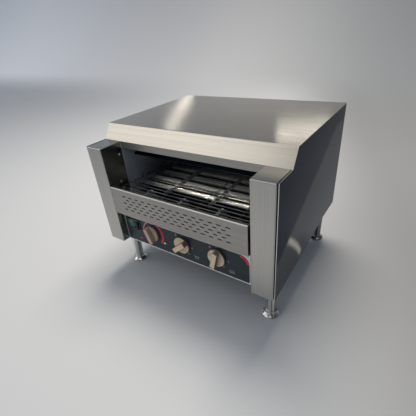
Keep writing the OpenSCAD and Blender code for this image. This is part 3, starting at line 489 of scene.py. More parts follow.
def skinRings(bm, rings, closed=False):
    for low, high in zip(rings, rings[1:]):
        joinRings(bm, low, high)
    if closed:
        joinRings(bm, rings[-1], rings[0])
    else:
        for end in (rings[0], rings[-1]):
            if len(end) > 2:
                bm.faces.new(end)


def lathe(bm, profile, place, steps=48):
    # profile holds (radius, height) pairs, turned round the place's own Z
    rings = []
    for radius, height in profile:
        angles = [tau * i / steps for i in range(steps if radius else 1)]
        spots = [Vector((radius * cos(angle), radius * sin(angle), height)) for angle in angles]
        rings.append([bm.verts.new(place @ spot) for spot in spots])
    skinRings(bm, rings)


def tube(bm, path, radius, sides=8, closed=False):
    # round bar along a path, with rings square to it
    rings = []
    side = None
    for i, point in enumerate(path):
        before = path[i - 1] if i or closed else point
        after = path[(i + 1) % len(path)] if i + 1 < len(path) or closed else point
        ahead = (after - before).normalized()
        if side is None:
            side = ahead.orthogonal().normalized()
        side = (side - ahead * side.dot(ahead)).normalized()
        over = ahead.cross(side)
        turns = [side * cos(tau * k / sides) + over * sin(tau * k / sides) for k in range(sides)]
        rings.append([bm.verts.new(point + turn * radius) for turn in turns])
    skinRings(bm, rings, closed)


def prism(bm, outline, levels):
    # outline(inset) gives the loop of a level, and levels holds (height vector, inset) pairs
    skinRings(bm, [[bm.verts.new(p + lift) for p in outline(inset)] for lift, inset in levels])


def addPiece(name, bm, look, body, replaced=(), sharp=35):
    bmesh.ops.recalc_face_normals(bm, faces=bm.faces)
    mesh = bpy.data.meshes.new(name)
    bm.to_mesh(mesh)
    bm.free()
    mesh.shade_smooth()
    mesh.set_sharp_from_angle(angle=radians(sharp))
    mesh.materials.append(look.owner)
    made = bpy.data.objects.new(name, mesh)
    bpy.context.scene.collection.objects.link(made)
    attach(made, body)
    if replaced:
        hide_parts(*replaced)
    return made


# folded sheets with rounded outer bends, made from the node's own solid
fold = {
    "hood": 1.1 * mm,
    "post": 2.4 * mm,
    "steps": 4,
    "leastLength": 20 * mm,
    "leastWidth": 4 * mm,
    "leastAngle": radians(25),
    "weld": 0.001 * mm,
}


def isOuterFold(edge):
    if len(edge.link_faces) != 2 or not edge.is_convex:
        return False
    wide = all(2 * face.calc_area() / face.calc_perimeter() > fold["leastWidth"] for face in edge.link_faces)
    bent = edge.calc_face_angle(0) > fold["leastAngle"]
    return wide and bent and edge.calc_length() > fold["leastLength"]


def foldedSheet(node, radius, look):
    bm = bmesh.new()
    bm.from_mesh(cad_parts[node].data)
    bmesh.ops.remove_doubles(bm, verts=bm.verts, dist=fold["weld"])
    bmesh.ops.dissolve_limit(bm, angle_limit=radians(1), verts=bm.verts, edges=bm.edges)
    folds = [edge for edge in bm.edges if isOuterFold(edge)]
    bmesh.ops.bevel(bm, geom=folds, offset=radius, segments=fold["steps"], profile=0.5, affect="EDGES")
    first, second = node.split("_")
    made = addPiece(first + second.title() + "Folded", bm, look, "casing", [node], 30)
    flats = made.modifiers.new("flats", "WEIGHTED_NORMAL")
    flats.keep_sharp = True
    print(node, "has", len(folds), "rounded folds")


foldedSheet("hood_cover", fold["hood"], hoodLook)
for name in ("left_post", "right_post"):
    foldedSheet(name, fold["post"], postLook)


# rolled hems along the guard's top edge and the control panel's lower edge; their pale colour is a painted
# highlight
hem = {
    "guardRadius": 1.5 * mm,
    "guardRise": 0.4 * mm,
    "guardProud": 0.3 * mm,
    "guardInset": 0.3 * mm,
    "guardGap": 4.7 * mm,
    "panelRadius": 1.2 * mm,
    "panelProud": 0.9 * mm,
    "panelInset": 0.6 * mm,
}


def addHem(name, left, right, depth, height, radius, sides):
    bm = bmesh.new()
    tube(bm, [Vector((left, depth, height)), Vector((right, depth, height))], radius, sides)
    addPiece(name, bm, hemHighlightLook, "casing")


def addHems():
    low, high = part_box("front_guard")
    radius = hem["guardRadius"]
    addHem("guardHem", low.x + hem["guardInset"], high.x - hem["guardGap"],
           low.y + radius - hem["guardProud"], high.z - radius + hem["guardRise"], radius, 12)
    low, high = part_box("control_panel")
    radius = hem["panelRadius"]
    addHem("panelHem", low.x + hem["panelInset"], high.x - hem["panelInset"],
           low.y + radius - hem["panelProud"], low.z + radius / 2, radius, 10)


# painted highlight: the hems are far paler than the steel they edge
hemHighlightLook = sheetLook("hemPaintedHighlight", steel["hem"], "x", roughness=0.3, metal=0.7)
addHems()
print("folded sheets made")


# belt: straight wires, and closed links that tie each wire to the next
belt = {
    "pitch": 12.7 * mm,
    "teeth": 12,
    "wires": 24,
    "half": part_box("belt_top_run")[1].x,
    "lane": 98.5 * mm,  # from one row of links to the next
    "edge": 2.6 * mm,  # the outer rows lie this far inside the wires' ends
    "wireRadius": 0.85 * mm,
    "linkRadius": 0.55 * mm,
    "linkRise": 1.55 * mm,  # from a wire's centre to the middle of a link's long side
    "linkStep": 1.25 * mm,  # neighbouring links lie this far to either side of their row
    "linkCorners": 6,
    "hookGap": 0.3 * mm,  # between an open link's end and the wire of the next run
}
offsets = (belt["lane"] / 2, belt["lane"] * 1.5, belt["half"] - belt["edge"])
belt["rows"] = [side * offset for offset in offsets for side in (-1, 1)]
belt["radius"] = belt["teeth"] * belt["pitch"] / tau


def linkLoop(x):
    # racetrack round two neighbouring wires, in the Y-Z plane
    rise, reach, corners = belt["linkRise"], belt["pitch"], belt["linkCorners"]
    points = []
    for middle, start in ((reach, -pi / 2), (0.0, pi / 2)):
        for i in range(corners):
            angle = start + pi * i / (corners - 1)
            points.append(Vector((x, middle + rise * cos(angle), rise * sin(angle))))
    return points


def addWire(bm, place, odd, last):
    ends = [Vector((-belt["half"], 0, 0)), Vector((belt["half"], 0, 0))]
    tube(bm, [place @ p for p in ends], belt["wireRadius"], 10)
    for row in belt["rows"]:
        x = row + belt["linkStep"] * (1 if odd else -1)
        if last:
            # the last link of a run is open, so that the run can part from its neighbour
            reach = belt["pitch"] - belt["wireRadius"] - belt["hookGap"]
            tube(bm, [place @ Vector((x, y, 0)) for y in (0.0, reach)], belt["linkRadius"], 8)
        else:
            tube(bm, [place @ p for p in linkLoop(x)], belt["linkRadius"], 6, closed=True)


def addRun(name, node, body, flip):
    low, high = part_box(node)
    height = (low.z + high.z) / 2
    inset = (high.z - low.z) / 2
    start = high.y - inset if flip else low.y + inset
    way = -1 if flip else 1
    bm = bmesh.new()
    for i in range(belt["wires"]):
        spot = Matrix.Translation((0, start + way * i * belt["pitch"], height))
        addWire(bm, spot @ Matrix.Rotation(pi if flip else 0, 4, "Z"), i % 2, i == belt["wires"] - 1)
    addPiece(name, bm, beltWire, body, [node], 50)


def addWrap(name, node, body, shaft, start):
    # half a turn of wires round a shaft
    low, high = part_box(shaft)
    centre = Matrix.Translation((0, (low.y + high.y) / 2, (low.z + high.z) / 2))
    step = tau / belt["teeth"]
    count = belt["teeth"] // 2
    bm = bmesh.new()
    for i in range(count):
        turn = Matrix.Rotation(start + (i + 0.5) * step, 4, "X")
        spot = centre @ turn @ Matrix.Translation((0, 0, belt["radius"])) @ Matrix.Rotation(-step / 2, 4, "X")
        addWire(bm, spot, i % 2, i == 0)
    addPiece(name, bm, beltWire, body, [node], 50)


beltWire = wireLook()
addRun("beltTop", "belt_top_run", "belt_top", False)
addRun("beltBottom", "belt_bottom_run", "belt_bottom", True)
addWrap("beltFront", "belt_front_wrap", "idler", "idler_shaft", 0)
addWrap("beltRear", "belt_rear_wrap", "drive", "drive_shaft", pi)
print("belt woven")


# quartz tubes with slightly narrowed ends
heater = {"count": 4, "sides": 36, "endRadius": 0.9, "end": 0.6 * mm}


def addHeaters(name, node):
    low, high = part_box(node)
    radius = (high.z - low.z) / 2
    pitch = (high.y - low.y - 2 * radius) / (heater["count"] - 1)
    length = high.x - low.x
    end, narrow = heater["end"], radius * heater["endRadius"]
    profile = [(0, 0), (narrow, 0), (radius, end), (radius, length - end), (narrow, length), (0, length)]
    bm = bmesh.new()
    for i in range(heater["count"]):
        spot = Matrix.Translation((low.x, low.y + radius + i * pitch, low.z + radius))
        lathe(bm, profile, spot @ Matrix.Rotation(pi / 2, 4, "Y"), heater["sides"])
    addPiece(name, bm, tubes, "casing", [node])


tubes = tubeLook()
addHeaters("upperTubes", "upper_elements")
addHeaters("lowerTubes", "lower_elements")
print("heaters made")


# knobs: dished skirt, bar grip with eased edges, pointer line
knob = {
    "radius": 21.5 * mm,
    "skirt": 5.8 * mm,
    "skirtEase": 0.6 * mm,
    # points of the skirt's eased front edge, as (inset, depth below the face)
    "skirtFront": ((0, 1.4 * mm), (0.5 * mm, 0.5 * mm), (1.6 * mm, 0)),
    "dish": 0.7 * mm,
    "dishInset": 4.5 * mm,
    "gripHalf": 6.0 * mm,
    "gripInset": 0.5 * mm,
    "gripSink": 1.2 * mm,
    "ease": 1.3 * mm,
    "easeSteps": 4,
    "recess": 0.8 * mm,
    "recessRim": 1.0 * mm,
    "lineHalf": 0.75 * mm,
    "lineFrom": 5 * mm,
    "lineTo": 18 * mm,
    "lineSink": 0.4 * mm,
    "lineProud": 0.15 * mm,
    "turns": {"speed_knob": -21, "top_heat_knob": 49, "bottom_heat_knob": 14},  # degrees, from upright
}


def barOutline(halfWidth, radius, steps=10):
    # bar whose round ends lie on a circle, as (across, along) points
    corner = acos(halfWidth / radius)
    ends = []
    for base in (corner, corner + pi):
        for i in range(steps + 1):
            angle = base + (pi - 2 * corner) * i / steps
            ends.append((radius * cos(angle), radius * sin(angle)))
    return ends


def skirtProfile():
    # a turned disc with an eased rim, dished on its face
    radius, face, ease = knob["radius"], knob["skirt"], knob["skirtEase"]
    dished = face - knob["dish"]
    profile = [(0, 0), (radius - ease, 0), (radius, ease)]
    profile += [(radius - inset, face - depth) for inset, depth in knob["skirtFront"]]
    return profile + [(radius - knob["dishInset"], dished), (0, dished)]


def gripLevels(tall):
    # from the skirt up to the eased edge, then down into a shallow recess
    ease = knob["ease"]
    levels = [(knob["skirt"] - knob["gripSink"], 0), (tall - ease, 0)]
    for i in range(1, knob["easeSteps"] + 1):
        lean = pi / 2 * i / knob["easeSteps"]
        levels.append((tall - ease + ease * sin(lean), ease * (1 - cos(lean))))
    levels.append((tall - knob["recess"], ease + knob["recessRim"]))
    return levels


def addKnob(node, body, angle, look):
    low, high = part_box(node)
    name = node.replace("_knob", "")
    tall = high.y - low.y
    # local Z looks out of the panel, local Y is up
    spot = Matrix.Translation(((low.x + high.x) / 2, high.y, (low.z + high.z) / 2))
    spot = spot @ Matrix.Rotation(radians(angle), 4, "Y") @ Matrix.Rotation(pi / 2, 4, "X")
    out = spot.to_3x3() @ Vector((0, 0, 1))

    def grip(inset):
        flat = barOutline(knob["gripHalf"] - inset, knob["radius"] - knob["gripInset"] - inset)
        return [spot @ Vector((across, along, 0)) for across, along in flat]

    def pointer(inset):
        half, start, end = knob["lineHalf"], knob["lineFrom"], knob["lineTo"]
        corners = ((-half, start), (half, start), (half, end), (-half, end))
        return [spot @ Vector((across, along, 0)) for across, along in corners]

    bm = bmesh.new()
    lathe(bm, skirtProfile(), spot, 72)
    prism(bm, grip, [(out * height, inset) for height, inset in gripLevels(tall)])
    addPiece(name + "Grip", bm, look, body, [node], 32)
    bm = bmesh.new()
    recess = tall - knob["recess"]
    prism(bm, pointer, [(out * (recess - knob["lineSink"]), 0), (out * (recess + knob["lineProud"]), 0)])
    addPiece(name + "Pointer", bm, knobMark, body)


# each knob's second colour is the painted shade of its grip's sides
tanLook = knobLook("knobTan", (0.58, 0.43, 0.28), (0.40, 0.28, 0.18))
creamLook = knobLook("knobCream", (0.80, 0.63, 0.41), (0.16, 0.12, 0.08))
for name, angle in knob["turns"].items():
    addKnob(name, name + "_body", angle, tanLook if name == "speed_knob" else creamLook)
print("knobs turned")


# power rocker: dished paddle, lit half on the left
rocker = {
    "tilt": -8,  # degrees
    "rise": 6.0 * mm,
    "waist": 3.6 * mm,
    "back": 2 * mm,
    "half": 17 * mm,
    "tall": 23.6 * mm,
    "ease": 0.6 * mm,
    "steps": 14,
    "pin": 4 * mm,
    "pinBehind": 2.5 * mm,
    "signPlace": 9.5 * mm,  # how far from the pin the ring and the bar stand
    "ring": 3.0 * mm,
    "ringHalf": 0.45 * mm,
    "bar": 3.4 * mm,
    "barHalf": 0.5 * mm,
    "signSoft": 0.1 * mm,
    "litEdge": (-0.8 * mm, 0.3 * mm),
    "lens": ((0.010, 0.09, 0.062), (0.007, 0.05, 0.038)),
    "black": (0.016, 0.017, 0.02),
    "sign": (0.12, 0.14, 0.15),
    "glow": (0.01, 0.12, 0.075),
}
switchLow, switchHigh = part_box("power_switch")
filmLow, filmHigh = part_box("control_film")
rockerAxis = (switchLow + switchHigh) / 2
rockerAxis.y = filmHigh.y + rocker["pinBehind"]


def rockerLook():
    look = Look("rockerPaddle", Coat_Weight=0.4, Coat_Roughness=0.1, Emission_Strength=0.25)
    across, _, up = look.parts(look.place())
    along = across - rockerAxis.x
    height = up - rockerAxis.z
    soft = rocker["signSoft"]
    lit = 1 - along.above(*rocker["litEdge"])
    ringSpot = along - rocker["signPlace"]
    away = (ringSpot * ringSpot + height * height) ** 0.5
    ring = 1 - abs(away - rocker["ring"]).above(rocker["ringHalf"], soft)
    bar = 1 - abs(along + rocker["signPlace"]).above(rocker["barHalf"], soft)
    bar = bar * (1 - abs(height).above(rocker["bar"], soft))
    cloud = look.noise(160.0, detail=2.0)
    lens = look.blend(cloud, *[tone(*colour) for colour in rocker["lens"]])
    paddle = look.blend(lit, tone(*rocker["black"]), lens)
    look.feed("Base Color", look.blend(ring + bar, paddle, tone(*rocker["sign"])))
    look.feed("Emission Color", look.blend(lit, tone(0, 0, 0), tone(*rocker["glow"])))
    look.feed("Roughness", cloud * 0.1 + 0.2)
    return look


def addRocker():
    wide, back, ease = rocker["half"], rocker["back"], rocker["ease"]
    outline = [(-wide, -back)]
    for i in range(rocker["steps"] + 1):
        share = 2 * i / rocker["steps"] - 1
        outline.append((wide * share, -rocker["waist"] - (rocker["rise"] - rocker["waist"]) * share ** 2))
    outline.append((wide, -back))
    spot = Matrix.Translation(rockerAxis) @ Matrix.Rotation(radians(rocker["tilt"]), 4, "Z")

    def loop(inset):
        # the paddle's front draws back with its sides, and its back stays
        flat = [(x * (1 - inset / wide), y + (0 if y == -back else inset)) for x, y in outline]
        return [spot @ Vector((x, y, 0)) for x, y in flat]

    half = rocker["tall"] / 2
    rises = ((0, ease), (ease * 0.6, ease * 0.3), (ease * 1.4, 0))
    levels = [(Vector((0, 0, rise - half)), inset) for rise, inset in rises]
    levels += [(Vector((0, 0, half - rise)), inset) for rise, inset in reversed(rises)]
    bm = bmesh.new()
    prism(bm, loop, levels)
    lathe(bm, [(0, -half), (rocker["pin"], -half), (rocker["pin"], half), (0, half)], spot, 24)
    addPiece("rockerPaddle", bm, rockerLook(), "power_rocker_body", ["power_rocker"])


addRocker()
print("rocker made")


# printed marks on the film, as thin raised ink
ink = {"thick": 0.08 * mm, "gap": 0.01 * mm}
inkRed = plasticLook("inkRed", (0.78, 0.012, 0.055), 0.45)
inkPink = plasticLook("inkPink", (0.82, 0.25, 0.33), 0.45)
inkPale = plasticLook("inkPale", (0.62, 0.64, 0.64), 0.45)
inkWhite = plasticLook("inkWhite", (0.86, 0.88, 0.88), 0.4)
inkDim = plasticLook("inkDim", (0.42, 0.44, 0.45), 0.45)


def filmPoint(x, z, out=0.0):
    return Vector((x, filmLow.y - ink["gap"] - out, z))


def addInk(name, strips, look):
    # each strip is a pair of outlines, one vertex pair after another
    bm = bmesh.new()
    for one, other in strips:
        rings = []
        for a, b in zip(one, other):
            corners = (filmPoint(*a), filmPoint(*b), filmPoint(*b, ink["thick"]), filmPoint(*a, ink["thick"]))
            rings.append([bm.verts.new(corner) for corner in corners])
        skinRings(bm, rings)
    addPiece(name, bm, look, "casing")


def arcStrip(centre, radius, start, end, widthAt, steps=36):
    # ring segment between two angles in degrees, whose width follows widthAt(0..1)
    one, other = [], []
    for i in range(steps + 1):
        share = i / steps
        angle = radians(start + (end - start) * share)
        half = widthAt(share) / 2
        for side, r in ((one, radius - half), (other, radius + half)):
            side.append((centre[0] + r * cos(angle), centre[1] + r * sin(angle)))
    return one, other


def disc(centre, halfX, halfZ, steps=24):
    # the tips keep a little height, so that no face has a point twice
    one, other = [], []
    for i in range(steps + 1):
        x = halfX * cos(pi * i / steps)
        z = halfZ * sin(pi * i / steps) + 0.01 * mm
        one.append((centre[0] + x, centre[1] - z))
        other.append((centre[0] + x, centre[1] + z))
    return one, other


def stroke(a, b, width):
    along = (Vector(b) - Vector(a)).normalized()
    side = Vector((-along.y, along.x)) * width / 2
    one = [tuple(Vector(p) - side) for p in (a, b)]
    other = [tuple(Vector(p) + side) for p in (a, b)]
    return one, other


marks = {
    "speedCentre": (-91.5 * mm, 145 * mm),
    "speedRadius": 31.5 * mm,
    # angles are in degrees; the speed wedge has a thin pale start and a strong end
    "pale": (196, 110),
    "paleWidth": (2.4 * mm, 3.4 * mm),
    "strong": (110, -42),
    "strongWidth": (3.4 * mm, 5.2 * mm),
    "oval": (-57 * mm, 126.5 * mm),
    "ovalHalf": (3.4 * mm, 2.6 * mm),
    "dot": (-138 * mm, 116 * mm),
    "dotHalf": 2.6 * mm,
    "corner": (92, 0),
    "cornerRadius": 20 * mm,
    "cornerWidth": 5.5 * mm,
    "cornerGap": 0.2 * mm,
    "ticks": (131, 93, -4, -52),
    "tickRadii": (24 * mm, 26 * mm),
    "lineWidth": 1.1 * mm,  # of the ticks and of a sign's bar
    "signs": ((38.5 * mm, 1), (131.5 * mm, -1)),  # across, and 1 for a bar above its rays or -1 below
    "signHeight": 118.5 * mm,
    "signBar": (7 * mm, 4 * mm),
    "rays": (-4.6 * mm, 0, 4.6 * mm),
    "rayEnds": (2.2 * mm, -3.4 * mm),
    "rayWidth": 1.0 * mm,
}


def widening(widths):
    return lambda share: widths[0] + (widths[1] - widths[0]) * share


def knobCentre(node):
    low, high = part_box(node)
    return (low.x + high.x) / 2, (low.z + high.z) / 2


def heatTicks(x, z):
    ticks = []
    for angle in marks["ticks"]:
        across, up = cos(radians(angle)), sin(radians(angle))
        ends = [(x + reach * across, z + reach * up) for reach in marks["tickRadii"]]
        ticks.append(stroke(*ends, marks["lineWidth"]))
    return ticks


def heatSign(x, way):
    # a heater's bar and its three rays
    z = marks["signHeight"]
    half, rise = marks["signBar"]
    strokes = [stroke((x - half, z + way * rise), (x + half, z + way * rise), marks["lineWidth"])]
    for across in marks["rays"]:
        ends = [(x + across, z + way * end) for end in marks["rayEnds"]]
        strokes.append(stroke(*ends, marks["rayWidth"]))
    return strokes


def addMarks():
    centre, radius = marks["speedCentre"], marks["speedRadius"]
    for name, look in (("pale", inkPink), ("strong", inkRed)):
        wedge = arcStrip(centre, radius, *marks[name], widening(marks[name + "Width"]))
        addInk("wedge" + name.title(), [wedge], look)
    addInk("wedgeDots", [disc(marks["dot"], marks["dotHalf"], marks["dotHalf"])], inkRed)
    addInk("paceOval", [disc(marks["oval"], *marks["ovalHalf"])], inkWhite)
    radius, width = marks["cornerRadius"], marks["cornerWidth"]
    corner = (filmHigh.x - radius, filmHigh.z - radius)
    radius = radius - width / 2 - marks["cornerGap"]
    addInk("cornerStripe", [arcStrip(corner, radius, *marks["corner"], widening((width, width)))], inkRed)
    ticks = heatTicks(*knobCentre("top_heat_knob")) + heatTicks(*knobCentre("bottom_heat_knob"))
    addInk("heatTicks", ticks, inkPale)
    signs = [line for place in marks["signs"] for line in heatSign(*place)]
    addInk("heatSigns", signs, inkDim)


# numbers beside the two heat knobs, each at an offset from its knob
digits = {
    "size": 6.4 * mm,
    "top": {"0": (-18.5 * mm, 22.5 * mm), "1": (28.6 * mm, -1.4 * mm), "2": (15.6 * mm, -21.0 * mm)},
    "bottom": {"0": (-18.5 * mm, 21.0 * mm), "1": (28.6 * mm, -3.1 * mm), "2": (15.6 * mm, -22.0 * mm)},
}


def digitMesh(text):
    data = bpy.data.curves.new("digit", "FONT")
    data.body = text
    data.size = digits["size"]
    data.align_x = "CENTER"
    data.align_y = "CENTER"
    data.extrude = ink["thick"] / 2
    draft = bpy.data.objects.new("digitDraft", data)
    bpy.context.scene.collection.objects.link(draft)
    bpy.context.view_layer.update()
    mesh = bpy.data.meshes.new_from_object(draft)
    bpy.data.objects.remove(draft)
    return mesh


def addDigits():
    for side in ("top", "bottom"):
        x, z = knobCentre(side + "_heat_knob")
        for text, (across, up) in digits[side].items():
            mesh = digitMesh(text)
            spot = filmPoint(x + across, z + up, ink["thick"] / 2)
            mesh.transform(Matrix.Translation(spot) @ Matrix.Rotation(pi / 2, 4, "X"))
            mesh.materials.clear()
            mesh.materials.append(inkPale.owner)
            made = bpy.data.objects.new(side + "Digit" + text, mesh)
            bpy.context.scene.collection.objects.link(made)
            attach(made, "casing")


addMarks()
addDigits()
print("marks printed")


# legs and feet, turned
leg = {
    "plate": 3 * mm,
    "lip": 0.5 * mm,
    "tube": 11.5 * mm,
    "bore": 8.2 * mm,
    "boreDepth": 2 * mm,
    "eased": 0.9 * mm,
    "stud": 4 * mm,
    # (radius, height) points of the flare, up from the tube's end and down from the plate
    "waist": ((11.5 * mm, 3 * mm), (11.6 * mm, 6 * mm)),
    "flare": ((13.5 * mm, -1.5 * mm), (14.6 * mm, -0.4 * mm), (16 * mm, 0)),
}
foot = {
    "edge": 0.8 * mm,
    "rim": 2.6 * mm,
    # the pad's shoulder as (inset, height), and its neck as (radius, height)
    "shoulder": ((0.6 * mm, 3.3 * mm), (3.5 * mm, 5.0 * mm)),
    "neck": ((13.2 * mm, 7.2 * mm), (11.9 * mm, 9.0 * mm), (11.5 * mm, 10.5 * mm)),
    "gap": 0.3 * mm,
    "eased": 0.5 * mm,
    "stem": 8 * mm,
}


def legProfile(low, high, plateRadius, top):
    lip, stud, tubeRadius = leg["lip"], leg["stud"], leg["tube"]
    under = top - leg["plate"]
    profile = [(leg["bore"], low + leg["boreDepth"])]
    profile += [(tubeRadius - leg["eased"], low), (tubeRadius, low + lip)]
    profile += [(radius, low + rise) for radius, rise in leg["waist"]]
    profile += [(radius, under + rise) for radius, rise in leg["flare"]]
    profile += [(plateRadius - lip, under), (plateRadius, under + lip), (plateRadius, top)]
    return profile + [(stud, top), (stud, high - lip), (stud - lip, high), (0, high)]


def footProfile(radius, neck, top):
    edge, eased, stem = foot["edge"], foot["eased"], foot["stem"]
    profile = [(0, 0), (radius - edge, 0), (radius, edge), (radius, foot["rim"])]
    profile += [(radius - inset, height) for inset, height in foot["shoulder"]]
    profile += foot["neck"]
    neckRadius = foot["neck"][-1][0]
    profile += [(neckRadius, neck - eased), (neckRadius - eased, neck)]
    return profile + [(stem, neck), (stem, top), (0, top)]


def addLeg(corner):
    low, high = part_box(corner + "_leg")
    footLow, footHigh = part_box(corner + "_foot")
    centre = Matrix.Translation(((low.x + high.x) / 2, (low.y + high.y) / 2, 0))
    # painted shade: the rear legs take the darker chrome
    chrome = rearChromeShadeLook if corner.startswith("rear") else chromeLook
    bm = bmesh.new()
    lathe(bm, legProfile(low.z, high.z, (high.x - low.x) / 2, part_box("base_plate")[0].z), centre, 64)
    addPiece(corner + "Leg", bm, chrome, "casing", [corner + "_leg"], 30)
    bm = bmesh.new()
    lathe(bm, footProfile((footHigh.x - footLow.x) / 2, low.z - foot["gap"], footHigh.z), centre, 64)
    addPiece(corner + "Foot", bm, chrome, "foot_" + corner, [corner + "_foot"], 30)


for corner in ("front_left", "front_right", "rear_left", "rear_right"):
    addLeg(corner)
print("legs turned")


# studio: floor that sweeps up into a wall, world and lamps
studio = {
    "reach": 6.0,
    "back": 2.6,
    "sweep": 1.4,
    "sweepSteps": 12,
    "height": 3.0,
    # the floor turns from pale to grey along a slanting line, and the wall in two steps across, both as
    # painted shade
    "floorPale": (0.51, 0.50, 0.49),
    "floorGrey": (0.255, 0.25, 0.245),
    "floorTurn": (0.3, 0.3),  # where a tone turns half way, and how softly
    "slant": 0.35,
    "wallPale": (0.98, 0.94, 0.92),
    "wallMid": (0.55, 0.53, 0.515),
    "wallGrey": (0.255, 0.26, 0.26),
    "midTurn": (-3.0, 2.0),
    "greyTurn": (-0.6, 0.9),
    "wallFrom": (0.12, 0.1),
}


def floorLook():
    look = Look("paleFloor", Specular_IOR_Level=0.1)
    across, deep, up = look.parts(look.place())
    cloth = look.noise(900.0, detail=2.0)
    # painted shade: the floor greys towards the right and the back, and the wall darkens in two steps towards
    # the right
    shade = (across + deep * studio["slant"]).above(*studio["floorTurn"])
    floor = look.blend(shade, tone(*studio["floorPale"]), tone(*studio["floorGrey"]))
    wall = tone(*studio["wallPale"])
    for turn, colour in (("midTurn", "wallMid"), ("greyTurn", "wallGrey")):
        wall = look.blend(across.above(*studio[turn]), wall, tone(*studio[colour]))
    look.feed("Base Color", look.blend(up.above(*studio["wallFrom"]), floor, wall))
    look.feed("Roughness", cloth * 0.1 + 0.8)
    return look


def addFloor():
    bm = bmesh.new()
    reach, back, sweep = studio["reach"], studio["back"], studio["sweep"]
    outline = [(-reach, 0.0), (back - sweep, 0.0)]
    for i in range(1, studio["sweepSteps"] + 1):
        angle = pi / 2 * i / studio["sweepSteps"]
        outline.append((back - sweep + sweep * sin(angle), sweep - sweep * cos(angle)))
    outline.append((back, studio["height"]))
    rows = [[bm.verts.new((x, y, z)) for x in (-reach, reach)] for y, z in outline]
    for low, high in zip(rows, rows[1:]):
        bm.faces.new((low[0], low[1], high[1], high[0]))
    mesh = bpy.data.meshes.new("floor")
    bm.to_mesh(mesh)
    bm.free()
    mesh.shade_smooth()
    mesh.materials.append(floorLook().owner)
    floor = bpy.data.objects.new("floor", mesh)
    bpy.context.scene.collection.objects.link(floor)


# world: a soft dome lights the scene, while camera and reflections see a grey backdrop, so each has its zones
sky = {
    "domeLow": (0.02, 0.07, 0.15),
    "domeHigh": (0.68, 0.76, 0.86),
    "domeTurn": (0.75, 0.4),
    "window": {"toward": (-0.62, -0.58, 0.52), "turn": (0.84, 0.16), "tone": (1.14, 1.19, 1.24)},
    "backdropLeft": (0.30, 0.31, 0.33),
    "backdropRight": (0.12, 0.125, 0.13),
    "backdropTurn": (0.2, 0.5),
    "pane": {"toward": (-0.70, -0.52, 0.48), "turn": (0.90, 0.10), "tone": (1.2, 1.2, 1.23)},
    "zenith": {"toward": (0, 0, 1), "turn": (0.86, 0.12), "tone": (0.95, 0.96, 0.98)},
}


def addZone(look, direction, zone, below, share=1.0):
    # a round bright zone towards one side of the sky, over what lies below it
    parts = [part * way for part, way in zip(direction, zone["toward"]) if way]
    facing = sum(parts[1:], parts[0])
    return look.blend(facing.above(*zone["turn"]) * share, below, tone(*zone["tone"]))


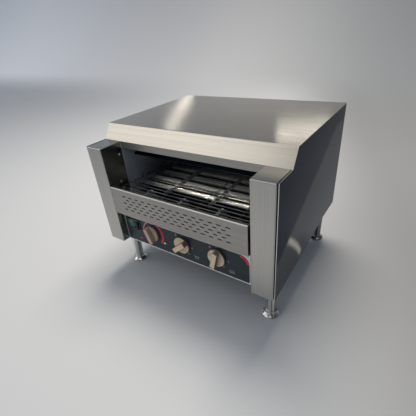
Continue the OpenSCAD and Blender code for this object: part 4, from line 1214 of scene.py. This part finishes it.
def addWorld():
    world = bpy.data.worlds.new("studioWorld")
    bpy.context.scene.world = world
    look = Look("world", owner=world)
    look.tree.nodes.clear()
    direction = look.parts(look.node("ShaderNodeTexCoord", out="Generated"))
    across, _, up = direction
    rays = look.node("ShaderNodeLightPath")
    seen = {name: Sock(look, rays.socket.node.outputs[name])
            for name in ("Is Camera Ray", "Is Glossy Ray", "Is Transmission Ray")}
    shown = seen["Is Camera Ray"] + seen["Is Glossy Ray"] + seen["Is Transmission Ray"]
    backdrop = look.blend(across.above(*sky["backdropTurn"]), tone(*sky["backdropLeft"]),
                          tone(*sky["backdropRight"]))
    # the bright pane lights what reflects it, and the camera sees the plain backdrop
    backdrop = addZone(look, direction, sky["pane"], backdrop, 1 - seen["Is Camera Ray"])
    backdrop = addZone(look, direction, sky["zenith"], backdrop)
    dome = look.blend(up.above(*sky["domeTurn"]), tone(*sky["domeLow"]), tone(*sky["domeHigh"]))
    dome = addZone(look, direction, sky["window"], dome)
    ambient = look.node("ShaderNodeBackground", sockets={"Color": dome, "Strength": 1.0})
    visible = look.node("ShaderNodeBackground", sockets={"Color": backdrop, "Strength": 1.0})
    mixed = look.node("ShaderNodeMixShader", sockets={0: shown, 1: ambient, 2: visible})
    out = look.tree.nodes.new("ShaderNodeOutputWorld")
    look.tree.links.new(mixed.socket, out.inputs["Surface"])


# lamps: three narrow strips for single highlights, and a broad one overhead that no reflection shows
lamps = {
    "streak": {
        "ends": ((-1.593, 2.0, 0.74), (-2.05, 2.0, 1.26)),
        "aim": (-0.1, 0.05, 0.39),
        "size": 0.05,
        "power": 0.22,
        "colour": (1.0, 0.95, 0.86),
    },
    "patch": {
        "ends": ((-0.68, 2.0, 1.11), (-0.22, 2.0, 1.03)),
        "aim": (0.2, 0.0, 0.39),
        "size": 0.13,
        "power": 0.25,
        "colour": (1.0, 0.97, 0.9),
    },
    "overhead": {
        "place": (-0.2, 0.7, 2.3),
        "aim": (0, 0, 0),
        "size": 1.3,
        "power": 62,
        "colour": (1.0, 0.955, 0.885),
    },
    "chamber": {
        "ends": ((-1.109, -1.046, 1.585), (-0.831, -1.138, 1.715)),
        "aim": (0.03, -0.092, 0.2275),
        "size": 0.02,
        "power": 0.05,
        "colour": (1.0, 0.945, 0.85),
        "spread": 1.2,  # degrees
    },
}


def addLamps():
    for name, lamp in lamps.items():
        data = bpy.data.lights.new(name, "AREA")
        data.size = lamp["size"]
        data.energy = lamp["power"]
        data.color = lamp["colour"]
        data.spread = radians(lamp.get("spread", 180))
        if "ends" in lamp:
            # a strip softbox between its two ends
            start, end = [Vector(p) for p in lamp["ends"]]
            data.shape = "RECTANGLE"
            data.size_y = (end - start).length
            place = (start + end) / 2
            along = (end - start).normalized()
            back = place - Vector(lamp["aim"])
            back = (back - along * back.dot(along)).normalized()
            turn = Matrix((along.cross(back), along, back)).transposed().to_4x4()
        else:
            data.shape = "DISK"
            place = Vector(lamp["place"])
            turn = (place - Vector(lamp["aim"])).to_track_quat("Z", "Y").to_matrix().to_4x4()
        made = bpy.data.objects.new(name + "Lamp", data)
        made.matrix_world = Matrix.Translation(place) @ turn
        made.visible_glossy = "ends" in lamp
        bpy.context.scene.collection.objects.link(made)


addFloor()
addWorld()
addLamps()
bpy.context.scene.view_settings.view_transform = "Standard"
print("studio lit")
